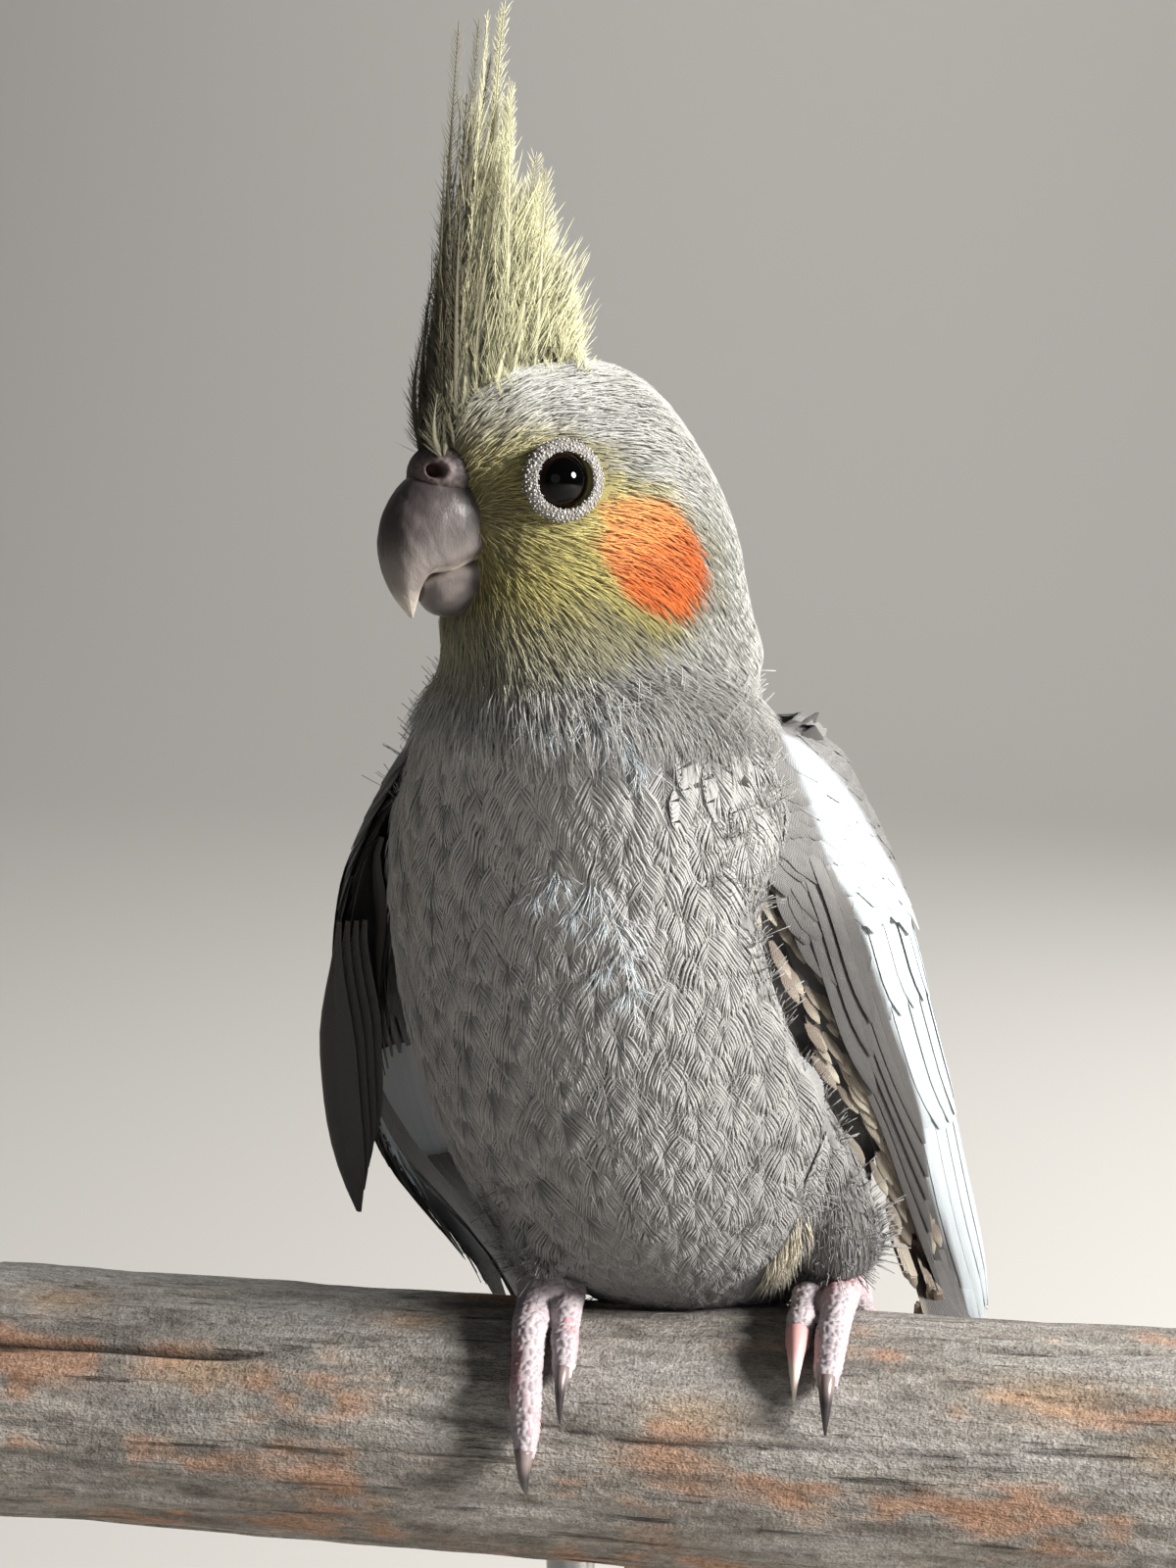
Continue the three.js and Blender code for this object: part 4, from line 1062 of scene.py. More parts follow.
def crest_group(rng, count, root, tip, high, bend, half, columns=(1.8, 3.0)):
    """Crest feathers between a foremost and a hindmost one, each given by its root's and its tip's
    place ahead of the eye, its tip's height, and how far it bends forwards halfway."""
    q = np.clip(np.linspace(0, 1, count) + rng.normal(0, 0.015, count), 0, 1)
    column = rng.permuted(np.tile([-1, 0, 1], count // 3 + 1))[:count]
    f = mix(root[0], root[1], q) + rng.normal(0, 0.2, count)
    beside = column * mix(columns[0], columns[1], q) + rng.normal(0, 0.6, count)
    low = crown_height(f) - 1.8 - 0.4 * np.abs(column)
    top = mix(high[0], high[1], q) + rng.normal(0, 1, count) * 0.05 * (mix(high[0], high[1], q) - low)
    top = np.minimum(top, CREST_TOP)
    end = mix(tip[0], tip[1], q) + rng.normal(0, 0.8, count)
    middle = (f + end) / 2 + mix(bend[0], bend[1], q) + rng.normal(0, 0.5, count)
    t = np.linspace(0, 1, 14)[None]
    a = on_head(f, beside, low)[:, None]
    b = on_head(middle, beside * 1.3, (low + top) / 2 - 2)[:, None]
    c = on_head(end, beside * 0.6 + rng.normal(0, 0.9, count), top)[:, None]
    path = bow(a, b, c, t[..., None])
    sway = np.sin(t * math.pi * rng.uniform(0.8, 1.7, (count, 1)) + rng.uniform(0, 3, (count, 1)))
    path = path + (sway * t * rng.uniform(-0.7, 0.7, (count, 1)))[..., None] * FORWARD
    slant = np.radians(column * 30 + rng.uniform(-22, 22, count))[:, None]
    side = (np.cos(slant) * FORWARD + np.sin(slant) * LEFTWARD)[:, None] + 0 * path
    taper = mix(1, 0.16, smooth(t, 0.3, 0.95))
    width = half * mix(0.6, 1, smooth(t, 0, 0.3)) * taper * rng.uniform(0.8, 1.15, (count, 1))
    hind = smooth(f, 12, 3)
    colour = paint("#4a4432", ("#b6b394", np.clip(hind + rng.normal(0, 0.1, count), 0, 1)))
    colour = colour[:, None] * mix(0.85, 1.08, smooth(t, 0, 0.8))[..., None]
    return path, side, width, colour, hind


def loose_barbs(rng, path, side, width, colour, root_uv, each, long, lean, thin=0.13):
    """Free barbs along both edges of a feather."""
    count, stations, _ = path.shape
    place = np.tile(np.linspace(0.1, 0.97, each), 2)
    way = np.repeat([-1, 1], each)
    index = place * (stations - 1)
    low = np.minimum(index.astype(int), stations - 2)
    start = between(path, index[None])
    ahead = unit(path[:, low + 1] - path[:, low])
    across = unit(side[:, low] - ahead * np.sum(side[:, low] * ahead, -1, keepdims=True))
    start = start + across * (between(width, index[None]) * 0.55 * way)[..., None]
    total = count * 2 * each
    reach = long * mix(1.1, 0.4, place ** 1.5) * rng.uniform(0.6, 1.25, (count, 2 * each))
    heading = unit(ahead + across * (lean * way * rng.uniform(0.6, 1.3, (count, 2 * each)))[..., None])
    up = np.cross(ahead, across)
    s = np.linspace(0, 1, 4)
    line = start[:, :, None] + heading[:, :, None] * (reach[..., None] * s)[..., None]
    bend = rng.normal(0, 0.12, (count, 2 * each)) * reach
    line = line + up[:, :, None] * (bend[..., None] * s ** 2)[..., None]
    # Each barb curves back along the shaft
    turn_in = 0.12 * lean * reach * way
    line = line - across[:, :, None] * (turn_in[..., None] * s ** 2)[..., None]
    size = thin * rng.uniform(0.8, 1.2, (total, 1)) * np.array([1, 0.9, 0.7, 0.15])
    tone = colour[:, low].reshape(total, 1, 3) * np.linspace(0.75, 1.45, 4)[None, :, None]
    tone = tone * rng.uniform(0.8, 1.2, (total, 1, 1))
    cross = np.repeat(up.reshape(total, 1, 3), 4, 1)
    return blades(line.reshape(total, 4, 3), cross, size, size * 0.6, THREAD, with_alpha(tone),
                  np.repeat(root_uv, 2 * each, 0))


def shaft(path, radius, colour, root_uv):
    """A rachis that thins towards the tip."""
    count, stations, _ = path.shape
    t = np.linspace(0, 1, stations)
    size = np.broadcast_to(radius * mix(1, 0.25, t), (count, stations))
    side = np.cross(unit(np.gradient(path, axis=1)), UP + 0.3 * FORWARD)
    square = np.array([[-1, -1], [1, -1], [1, 1], [-1, 1]]) * 0.8
    tint = with_alpha(np.broadcast_to(colour, (count, stations, 3)))
    return blades(path, side, size, size, square, tint, root_uv)


def crest_veil(rng, count):
    """Loose barbs over both faces of the crest, combed up and back, then curving upwards."""
    q = rng.uniform(0.06, 0.9, count)
    u = mix(13, mix(42, 19, q ** 1.2), rng.uniform(0, 1, count) ** 1.2)
    front = np.interp(u, [12, 17, 28, 39, 50], [12.4, 12.2, 10.0, 7.4, 7.4])
    back = np.interp(u, [12, 18, 26, 32, 38, 50], [-8.0, -7.6, -6.0, -3.4, -1.6, 1.0])
    f = mix(front, back, q)
    way = np.sign(rng.uniform(-1, 1, count))
    beside = way * np.interp(u, [12, 20, 36, 50], [3.9, 3.3, 1.9, 0.9]) * np.sqrt(1 - 0.75 * (2 * q - 1) ** 2)
    lean = np.radians(mix(8, 40, q) + rng.normal(0, 12, count))
    heading = np.cos(lean)[:, None] * UP - np.sin(lean)[:, None] * FORWARD + (0.16 * way)[:, None] * LEFTWARD
    reach = rng.uniform(2.4, 4.8, count)[:, None, None]
    s = np.linspace(0, 1, 4)[None, :, None]
    curl = (UP - 0.1 * FORWARD) * 0.3 * reach * s ** 2
    path = on_head(f, beside, u)[:, None] + heading[:, None] * reach * s + curl
    hind = np.clip(smooth(f, 10.5, 1) + rng.normal(0, 0.12, count), 0, 1)
    colour = paint("#56503a", ("#c0bd98", hind)) * rng.uniform(0.8, 1.15, (count, 1))
    size = 0.06 * rng.uniform(0.8, 1.2, (count, 1)) * np.array([0.8, 1, 0.7, 0.15])
    tint = colour[:, None] * np.linspace(0.7, 1.3, 4)[None, :, None]
    side = np.cross(heading, LEFTWARD)[:, None] + 0 * path
    return blades(path, side, size, size * 0.6, THREAD, with_alpha(tint), bake_place(path[:, 0]))


def make_crest():
    rng = np.random.default_rng(7)
    groups = [
        (crest_group(rng, 6, (9.2, 4.5), (7.2, 0.4), (50, 56), (1.6, 0.6), 0.4), 85, 3.2),
        (crest_group(rng, 14, (11.2, 9.4), (11.2, 7.8), (15, 41), (0.9, 0.7), 0.4), 40, 2.2),
        (crest_group(rng, 15, (8.4, 2), (5.6, 1.2), (33, 43), (1.0, 0.2), 0.45), 70, 3.8),
        (crest_group(rng, 14, (4, -1), (0.6, -2.6), (28, 37), (0.3, -0.5), 0.45), 60, 4.2),
        (crest_group(rng, 20, (1.5, -4), (-2.4, -6.2), (31, 18), (-0.3, -1.0), 0.45), 44, 4.6),
        (crest_group(rng, 40, (11, -4), (9.8, -5), (20, 19), (0.8, -0.8), 0.45, (2.4, 3.2)), 26, 3.4),
        (crest_group(rng, 70, (11.4, -5), (11.2, -7), (9.5, 15.5), (0.5, -0.6), 0.45, (3.6, 4.2)), 14, 2.8),
    ]
    batches = []
    for (path, side, width, colour, hind), each, long in groups:
        uv = bake_place(path[:, 0])
        thick = np.full_like(width, 0.06)
        batches.append(blades(path, side, width, thick, lens(3), with_alpha(colour * 0.8), uv))
        batches.append(shaft(path, 0.08, colour * 1.1, uv))
        light = colour * mix(0.95, 1.25, hind)[:, None, None]
        batches.append(loose_barbs(rng, path, side, width, light, uv, each, long, 0.7, 0.07))
    batches.append(crest_veil(rng, 800))
    coat("crest_feathers", batches, MATERIAL["hair"], ["crest"])


# Wings
WING_DEPTH = 2.6
WINGS = {
    "left": {
        "lead": curve([[6.2, -24, 76], [11.8, -24.4, 61], [17.8, -17.4, 40], [24.6, 2.8, 18],
                       [28.8, 22.6, -8], [29, 38, -36], [26, 50, -63]]),
        "crest": curve([[19.0, -8.4, 80], [28.2, -3.0, 60.2], [33.8, 8.0, 39], [38.6, 20.2, 17],
                        [42.8, 33, -9], [40, 45.6, -38], [30, 56, -66]]),
        "neck": np.array([-10, -0.6, 12]),
        "trail": curve([[2.0, 6.4, 77.4], [6.6, 15, 57.4], [13.6, 26.4, 37.4], [21.6, 37, 15],
                        [27, 46.2, -10], [27, 55, -39], [24, 60, -67]]),
    },
    "right": {
        "lead": curve([[-30, -19, 77], [-40.4, -12.5, 59], [-45.2, -3, 36], [-43.4, 11, 14], [-31, 21.5, -8],
                       [-24.5, 35, -36], [-21.5, 47, -62]]),
        "crest": curve([[-30, -3, 79], [-39.5, 4, 58], [-43, 14, 36], [-41, 26, 11], [-32, 34.5, -13],
                        [-26.5, 45.5, -40], [-23.5, 53.5, -66]]),
        "neck": np.array([10, -3, 12]),
        "trail": curve([[-14, 8, 77], [-20, 17, 58], [-28, 28, 36], [-32, 38, 12], [-27, 46, -14],
                        [-24, 53.5, -41], [-22, 58, -66]]),
    },
}


def wing_spot(wing, s, c):
    """Place on the wing; shares below nought run on upwards, to the neck."""
    lead, crest, trail = wing["lead"](s), wing["crest"](s), wing["trail"](s)
    pull = crest * 2 - lead * 0.5 - trail * 0.5
    c = np.asarray(c)[..., None]
    above = -np.minimum(s, 0)[..., None] / 0.1
    return bow(lead, pull, trail, c) + above * wing["neck"]


def wing_normal(wing, s, c):
    step = 0.01
    down = wing_spot(wing, np.minimum(s + step, 1), c) - wing_spot(wing, s - step, c)
    across = wing_spot(wing, s, c + step) - wing_spot(wing, s, c - step)
    normal = unit(np.cross(down, across))
    outward = wing_spot(wing, s, 0.5 + 0 * c) * (1, 1, 0) - np.array([-1, 10, 0])
    facing = np.sign(np.sum(normal * outward, -1, keepdims=True))
    return normal * np.where(facing == 0, 1, facing)


def on_wing(wing, s, c, lift):
    return wing_spot(wing, s, c) + wing_normal(wing, s, c) * (lift - WING_DEPTH)[..., None]


def arm_form(wing):
    def swell(share):
        return np.sin(np.pi * np.clip(share, 0, 1) * 0.5)

    def form(share, angle):
        t = np.clip(share, 0.02, 0.98)
        s = mix(0.004, 0.38, t)
        bulge = swell(share * 3 + 0.05) * np.sqrt(np.clip((1 - share) * 12, 0, 1))
        thick = mix(0.8, 0.5, smooth(t, 0.1, 1)) * bulge
        wide = 0.47 * swell(t * 3 + 0.2) * np.sqrt(np.clip(share * (1 - share) * 60, 0, 1))
        return on_wing(wing, s, 0.5 + wide * np.cos(angle), np.sin(angle) * thick)
    return form


WING_GREY = linear("#787573")
WING_DARK = linear("#434140")
WING_BROWN = linear("#6b6056")
WING_UNDER = linear("#2e2c2b")
# Rows of wing feathers. Pairs are for the first and the last feather: root, root_c and tip_c are shares
# of the wing's length and breadth, the lifts are over the wing's layer, wide is the half width, tilt is
# in degrees, point is where the tip begins, and tips gives each feather's end.
ROW_KEYS = ("name", "count", "root", "root_c", "tip_c", "root_lift", "lift", "wide", "tilt", "point", "tips")
WING_ROWS = [dict(zip(ROW_KEYS, row)) for row in (
    ("primaries", 9, (0.3, 0.13), (0.09, 0.7), (0.12, 0.84), (-1, -0.6), (-3.0, -2.4), 3.4, 12, 0.5,
     lambda q: mix(1, 0.63, q ** 0.85) - 0.07 * np.maximum(0, 1 - q * 6)),
    ("secondaries", 10, (0.12, 0.17), (0.21, 0.84), (0.2, 0.88), (-0.2, 0.2), (0.1, 0.7), 4.2, 1.6, 0.8,
     lambda q: mix(0.69, 0.68, q) - 0.1 * q * q),
    ("greater_coverts", 10, (0.1, 0.13), (0.21, 0.86), (0.21, 0.88), (0.3, 0.7), (0.5, 1.1), 3.5, 2, 0.85,
     lambda q: mix(0.47, 0.4, q)),
    ("median_coverts", 12, (0.06, 0.08), (0.19, 0.88), (0.19, 0.9), (0.7, 1.0), (0.9, 1.4), 2.9, 3, 0.9,
     lambda q: mix(0.33, 0.27, q)),
    ("primary_coverts", 5, (0.18, 0.14), (0.09, 0.16), (0.1, 0.17), (0.2, 0.8), (0.9, 1.5), 1.7, 6, 0.7,
     lambda q: mix(0.62, 0.48, q)),
    ("alula", 3, (0.12, 0.1), (0.09, 0.14), (0.09, 0.14), (0.8, 1.2), (1.5, 1.9), 1.9, 6, 0.75,
     lambda q: mix(0.4, 0.32, q)),
)]
UNDER_ROWS = [dict(zip(ROW_KEYS, row)) for row in (
    ("underwing_greater", 9, (0.12, 0.14), (0.04, 0.8), (0.04, 0.84), (-0.8, -1.4), (-3.6, -4.2), 3.6, -8, 0.8,
     lambda q: mix(0.39, 0.34, q)),
    ("underwing_median", 10, (0.07, 0.08), (0.03, 0.84), (0.04, 0.86), (-1.2, -1.6), (-4.2, -4.8), 3.4, -8, 0.85,
     lambda q: mix(0.3, 0.25, q)),
    ("underwing_lesser", 11, (0.03, 0.04), (0.03, 0.86), (0.04, 0.88), (-1.4, -1.8), (-4.6, -5.2), 3.2, -8, 0.9,
     lambda q: mix(0.19, 0.17, q)),
)]
WING_STOPS = 14


def wing_row(wing, row, rng, region, drooped):
    """One row of feathers as vanes with their shafts. On the drooped wing the primaries spring
    lower down, so that the pale undersides of the secondaries show over them."""
    count = row["count"]
    q = np.linspace(0, 1, count)[:, None]
    t = np.linspace(0, 1, WING_STOPS)[None]
    tip = row["tips"](q) * rng.uniform(0.985, 1.015, (count, 1))
    root = mix(*row["root"], q)
    if drooped and row["name"] == "primaries":
        root = mix(0.34, 0.5, smooth(q, 0, 0.3))
    s = mix(root, tip, t)
    c = mix(mix(*row["root_c"], q), mix(*row["tip_c"], q), t)
    lift = mix(mix(*row["root_lift"], q), mix(*row["lift"], q), smooth(t, 0, 0.4))
    lift = lift + rng.normal(0, 0.03, (count, 1))
    path = on_wing(wing, s, c, lift)
    width = row["wide"] * vane_width(t, 0.34, 0.3, row["point"] - 0.12, 1.04)
    width = width * rng.uniform(0.96, 1.04, (count, 1))
    slope = math.tan(math.radians(row["tilt"])) + rng.normal(0, 0.01, (count, 1))
    profile = lens(9)
    points, beside, flip = wing_points(wing, s, c, lift, width, slope, 0.09, profile)
    colour = web_colours(row, s, beside, profile[:, 0] * flip, rng, drooped)
    uv = wing_uv(region, s[:, 0], c[:, 0])
    parts = [blades(path, path, width, width, profile, colour, uv, points=points)]
    up = wing_normal(wing, s, c)
    middle = np.argmin(np.abs(profile[:, 0]))
    parts.append(shaft(path + up * 0.05, 0.1, colour[:, :, middle, :3] * 0.92, uv))
    return parts


def wing_points(wing, s, c, lift, width, slope, thick, profile, way=1):
    """Points of vanes that lie along the wing's curved surface: they tilt a little, front edge up."""
    path = on_wing(wing, s, c, lift)
    ahead = unit(np.gradient(path, axis=1))
    sideways = wing_spot(wing, s, c + 0.02) - wing_spot(wing, s, c - 0.02)
    flip = way * np.sign(np.sum(np.cross(ahead, sideways) * wing_normal(wing, s, c), -1).mean())
    x, y = profile[:, 0] * flip, profile[:, 1] * way
    beside = c[..., None] + x * (width / wing_breadth(wing, s, c))[..., None]
    height = lift[..., None] - x * (width * slope)[..., None] + thick * y
    return on_wing(wing, s[..., None] + 0 * beside, beside, height), beside, flip


def wing_breadth(wing, s, c):
    """Millimetres for a whole share of the wing's breadth."""
    return np.linalg.norm(wing_spot(wing, s, c + 0.02) - wing_spot(wing, s, c - 0.02), axis=-1) / 0.04


def panel(s, c):
    """Share of white on the upper side, between the panel's front and hind edges."""
    start = np.interp(s, [0, 0.1, 0.16, 0.21, 0.3, 0.38, 0.44, 0.52, 0.58, 0.63, 0.7],
                      [0.2, 0.17, 0.155, 0.185, 0.205, 0.215, 0.205, 0.165, 0.175, 0.2, 0.24])
    stop = np.interp(s, [0, 0.03, 0.08, 0.145, 0.2, 0.27], [0.22, 0.26, 0.31, 0.35, 0.42, 0.66])
    return smooth(c - start, -0.012, 0.008) * (1 - smooth(c - stop, -0.02, 0.03)) * smooth(s, -0.01, 0.02)


def upper_colours(s, c):
    """Upper side of a folded wing: grey shoulder, dark front edge, white panel, grey behind."""
    # Painted shade: the back grey is darkened to 0.55 on the shoulder, for the side that faces away from the
    # light.
    grey = blend(GREY_BACK * 0.55, WING_GREY * 0.75, smooth(s, 0.08, 0.2))
    dark = smooth(s, 0.14, 0.24) * (1 - smooth(c, 0.27, 0.36))
    grey = blend(grey, WING_DARK, dark)
    return blend(grey, WHITE, panel(s, c))


def web_colours(row, s, beside, x, rng, drooped):
    """Colours over a feather's webs by place on the wing; the drooped wing shows its underside."""
    count = len(s)
    across = beside + rng.normal(0, 0.006, (count, 1, 1))
    along = s[..., None] + 0 * across
    if row["name"] == "primaries":
        rim = 0 if drooped else 0.5 * smooth(-x, 0.7, 0.95)[None, None]
        colour = blend(WING_DARK, CREAM, rim + 0 * across)
    elif drooped and row["name"] == "secondaries":
        colour = blend(WING_DARK, WHITE, smooth(along, 0.3, 0.4) * (1 - smooth(along, 0.52, 0.64)))
    elif drooped:
        colour = blend(WING_UNDER, WING_GREY, smooth(along, 0.2, 0) + 0 * across)
    else:
        colour = upper_colours(along, across)
    # Painted shade: each web darkens to 0.78 at its tip and to 0.9 along its side edges, for the shade lines
    # where the feathers overlap.
    rim = mix(1, 0.78, smooth(np.linspace(0, 1, WING_STOPS), 0.88, 1))[None, :, None, None]
    edge = mix(1, 0.9, smooth(np.abs(x), 0.8, 1))[None, None, :, None]
    tone = rng.uniform(0.95, 1.04, (count, 1, 1, 1)) * rim * edge
    return with_alpha(np.clip(colour * tone, 0, 0.95))


def wing_uv(region, s, c):
    return np.stack([region + 0.16 * np.clip(c, 0, 1), 0.04 + 0.9 * np.clip(s, 0, 1)], -1)


def wing_scales(wing, rng, region, rows, first, last, span, lift, wide, tint, under=False, wild=1, skin=None):
    """Small coverts in close rows between two shares of the wing's length and breadth."""
    s0, c0 = [], []
    for i in range(rows[0]):
        for k in range(rows[1]):
            s0.append(mix(first[0], last[0], i / max(rows[0] - 1, 1)) + rng.normal(0, 0.003 * wild))
            c0.append(mix(first[1], last[1], (k + 0.5 * (i % 2)) / rows[1]) + rng.normal(0, 0.006 * wild))
    s0, c0 = np.array(s0)[:, None], np.array(c0)[:, None]
    t = np.linspace(0, 1, 6)[None]
    s = s0 + span * t * rng.uniform(0.85, 1.15, s0.shape)
    c = c0 + 0.008 * t
    profile = lens(7)
    way = -1 if under else 1
    rise = lift + way * mix(-0.4, 0.2, t) - 1.2 * smooth(-s, 0.02, 0.12)
    rise = rise + rng.normal(0, 0.05 * wild, s0.shape)
    width = wide * vane_width(t, 0.4, 0.4, 0.5, 1.05, 0.02)
    width = width * rng.uniform(1 - 0.08 * wild, 1 + 0.08 * wild, s0.shape)
    points, beside, _ = wing_points(wing, s, c, rise, width, 0.0, 0.06, profile, way)
    if skin:
        # The topmost and the rearmost ones lie down on the shoulder and the back
        rear = smooth(c, 0.7, 0.92) * (1 - smooth(s, 0.1, 0.2))
        hold = (np.maximum(smooth(-s, -0.05, 0.02), rear)[..., None] + 0 * beside)[..., None]
        height = 0.6 + 0.7 * t[..., None] + 0.06 * profile[:, 1] + 0 * beside
        chosen = hold[..., 0] > 0.01
        spots, normals = skin.nearest(points[chosen])
        points[chosen] = mix(points[chosen], spots + normals * height[chosen][:, None], hold[chosen])
    colour = tint(s0[..., None], c0[..., None], s[..., None], beside, t[..., None], rng)
    # Painted shade: each covert is a little darker at its root and darkens to 0.78 at its tip, where it laps
    # over the next.
    painted_scale_shade = mix(0.93, 1.02, smooth(t, 0, 0.8)) * mix(1, 0.78, smooth(t, 0.8, 1))
    colour = colour * rng.uniform(0.95, 1.05, (len(s0), 1, 1, 1)) * painted_scale_shade[..., None, None]
    uv = wing_uv(region, s0[:, 0], np.clip(c0[:, 0], 0, 1))
    path = on_wing(wing, s, c, rise)
    return [blades(path, path, width, width, profile, with_alpha(colour), uv, points=points)]


def shoulder_tint(s0, c0, s, c, t, rng):
    return upper_colours(s, c)


def edge_tint(s0, c0, s, c, t, rng):
    """Mottled leading edge: brown feathers with cream rims and tips, palest right at the edge."""
    brown = blend(WING_GREY, WING_BROWN, smooth(s, 0.12, 0.25))
    rim = smooth(t, 0.45, 0.9) * rng.uniform(-0.2, 1.3, s0.shape)
    border = rng.uniform(0, 1, s0.shape) * smooth(-c, -0.07, -0.04) * smooth(s, 0.25, 0.45)
    return blend(brown, CREAM, np.clip(0.6 * rim * smooth(s, 0.1, 0.2) + 0.5 * border, 0, 1))


def under_tint(s0, c0, s, c, t, rng):
    """Dark underwing with a few paler spots near its leading edge."""
    spot = (rng.uniform(0, 1, s0.shape) > 0.7) * (1 - smooth(c0, 0.1, 0.22)) * smooth(t, 0.3, 0.8)
    return blend(WING_UNDER + 0 * (s + c)[..., None], WING_GREY, spot * 0.6 + 0 * c)


def slipped_feathers(rng, region):
    """Outer feathers of the right hand that hang out below the rest, at the leading edge."""
    a, b, c = np.array([-41.5, -10.5, 52]), np.array([-45.4, -3.5, 30]), np.array([-43.4, 4, 9.5])
    out = np.array([-0.35, -0.93, 0])
    i = np.arange(4)[:, None]
    t = np.linspace(0, 1, WING_STOPS)[None] * (1 - 0.08 * i)
    path = bow(a, b, c, t[..., None])
    path = path - out * (0.6 * i)[..., None] + np.array([0.75, 0, 0]) * i[..., None]
    side = np.broadcast_to(np.array([0.93, -0.35, -0.1]), path.shape)
    t = np.linspace(0, 1, WING_STOPS)[None]
    width = 3.0 * vane_width(t, 0.12, 0.45, 0.55, 1.03) + 0 * i
    profile = lens(9)
    colour = blend(WING_UNDER, WING_BROWN, smooth(-profile[:, 0], 0.75, 0.95) * 0.5)
    colour = np.broadcast_to(colour, (4, WING_STOPS, len(profile), 3)) * rng.uniform(0.9, 1.1, (4, 1, 1, 1))
    uv = wing_uv(region, np.full(4, 0.3), np.full(4, 0.02))
    vane = blades(path, side, width, np.full_like(width, 0.13), profile, with_alpha(colour), uv, camber=0.1)
    return [vane, shaft(path, 0.2, linear("#3a3532"), uv)]


def make_wings(skin):
    for number, side in enumerate(("left", "right")):
        rng = np.random.default_rng(31 + number)
        wing = WINGS[side]
        region = 0.62 + 0.19 * number
        arm = shape(ball(f"wing_{side}_arm", 40, 40), arm_form(wing))
        turn_out(arm)
        # Painted shade: the arm under the wing's feathers is dark wing grey darkened further to 0.8, for the
        # shade in the gaps between them.
        tint_points(arm, np.broadcast_to(WING_DARK * 0.8, (len(arm.data.vertices), 3)))
        settle(arm, MATERIAL["skin"])
        batches = []
        drooped = side == "right"
        for row in WING_ROWS + (UNDER_ROWS if drooped else []):
            batches += wing_row(wing, row, rng, region, drooped)
        place = wing, rng, region
        batches += wing_scales(*place, (11, 15), (-0.01, 0.12), (0.15, 0.97), 0.08, 1.6, 2.8, shoulder_tint,
                               skin=skin)
        batches += wing_scales(*place, (8, 5), (-0.01, 0.05), (0.2, 0.17), 0.07, 1.5, 1.9, shoulder_tint,
                               skin=skin)
        edge = under_tint if drooped else edge_tint
        batches += wing_scales(*place, (40, 5), (0.06, 0.03), (0.62, 0.13), 0.036, 0.35, 0.8, edge, wild=3)
        if drooped:
            batches += wing_scales(*place, (9, 16), (0.03, 0.0), (0.24, 1.0), 0.08, -5.0, 3.0, under_tint, True)
            batches += slipped_feathers(rng, region)
        coat(f"wing_{side}_feathers", batches, MATERIAL["flight"], [f"wing_{side}"], True)


# Tail
TAIL_PAIRS = [1, 0.92, 0.82, 0.72, 0.62, 0.54]


def make_tail():
    rng = np.random.default_rng(41)
    batches = []
    t = np.linspace(0, 1, 18)
    profile = lens(9)
    for i, reach in enumerate(TAIL_PAIRS):
        for side in (-1, 1):
            middle = i == 0
            width = (6.4 if middle else 5.8) * vane_width(t, 0.34, 0.3, 0.4 if middle else 0.62, 1.03)
            at = width[np.minimum((t * 17).astype(int), 10)]
            beside = side * (mix(0.6, 1.6, t) if middle else at + 0.3 + 0.8 * i * t)
            lift = 2.1 - 0.88 * i + (0.88 if middle and side > 0 else 0) - 2 * t * t
            path = on_tail(mix(8, TAIL_LENGTH * reach, t), beside, lift)[None]
            grey = blend(WING_GREY, WING_DARK, smooth(t, 0.5, 1))
            outer = smooth(profile[:, 0] * side, -0.2, 0.3)
            pale = (0 if middle else min(1, 0.35 + 0.16 * i)) * (0.35 + 0.65 * outer)
            pale = pale + 0 * t[:, None]
            colour = blend(grey[:, None] + 0 * pale[..., None], linear("#cbbf86"), pale)
            full = np.concatenate([colour, 0.85 * pale[..., None]], -1)[None]
            across = np.broadcast_to([-1.0, 0, 0], path.shape)
            uv = np.array([[0.3 + 0.02 * side * i, 0.01]])
            thick = np.full((1, 18), 0.14)
            batches.append(blades(path, across, width[None], thick, profile, full, uv, camber=0.06))
            batches.append(shaft(path + TAIL_UP * 0.14, 0.34, linear("#5b534b"), uv))
    for count, over, reach, wide in ((7, 1, 52, 5.4), (9, -1, 64, 5.0), (6, 1, 38, 5.2), (8, -1, 46, 5.0)):
        for k in range(count):
            q = (k / (count - 1)) * 2 - 1
            s = np.linspace(0, 1, 10)
            far = reach - 9 * abs(q) + rng.normal(0, 1)
            height = over * mix(2.0, 5.0 - (k % 2) * 0.7, smooth(s, 0, 0.4)) - over * 1.2 * s
            path = on_tail(mix(2, far, s), q * wide * mix(0.7, 1.25, s), height)[None]
            width = 4.3 * vane_width(s, 0.4, 0.35, 0.5, 1.05, 0.02)
            base = GREY_BACK if over > 0 else blend(GREY_CHEST, linear("#bdb38c"), np.array(0.5))
            colour = base * mix(0.75, 1.08, smooth(s, 0, 0.9))[:, None] * rng.uniform(0.93, 1.07)
            side = np.broadcast_to(np.array([1.0, 0, 0.24 * q * over]) * -1, path.shape)
            full = with_alpha(colour, 0.25 if over < 0 else 0)[None]
            uv = np.array([[0.3, 0.03]])
            batches.append(blades(path, side, width[None], np.full((1, 10), 0.11), lens(7), full, uv, 0.12))
    coat("tail_feathers", batches, MATERIAL["tail"], ["tail"], True)


# Eyes
def eye_form(side):
    """Ball with a slightly raised cornea, its pole turned outwards."""
    def form(share, angle):
        polar = share * math.pi
        bulge = 0.25 * np.exp(-(polar / 0.8) ** 2)
        r = EYE_RADIUS + bulge - 0.2
        out = np.cos(polar) * r
        a, b = np.sin(polar) * np.cos(angle) * r, np.sin(polar) * np.sin(angle) * r
        return on_head(a, side * (EYE_SIDE + out), b)
    return form


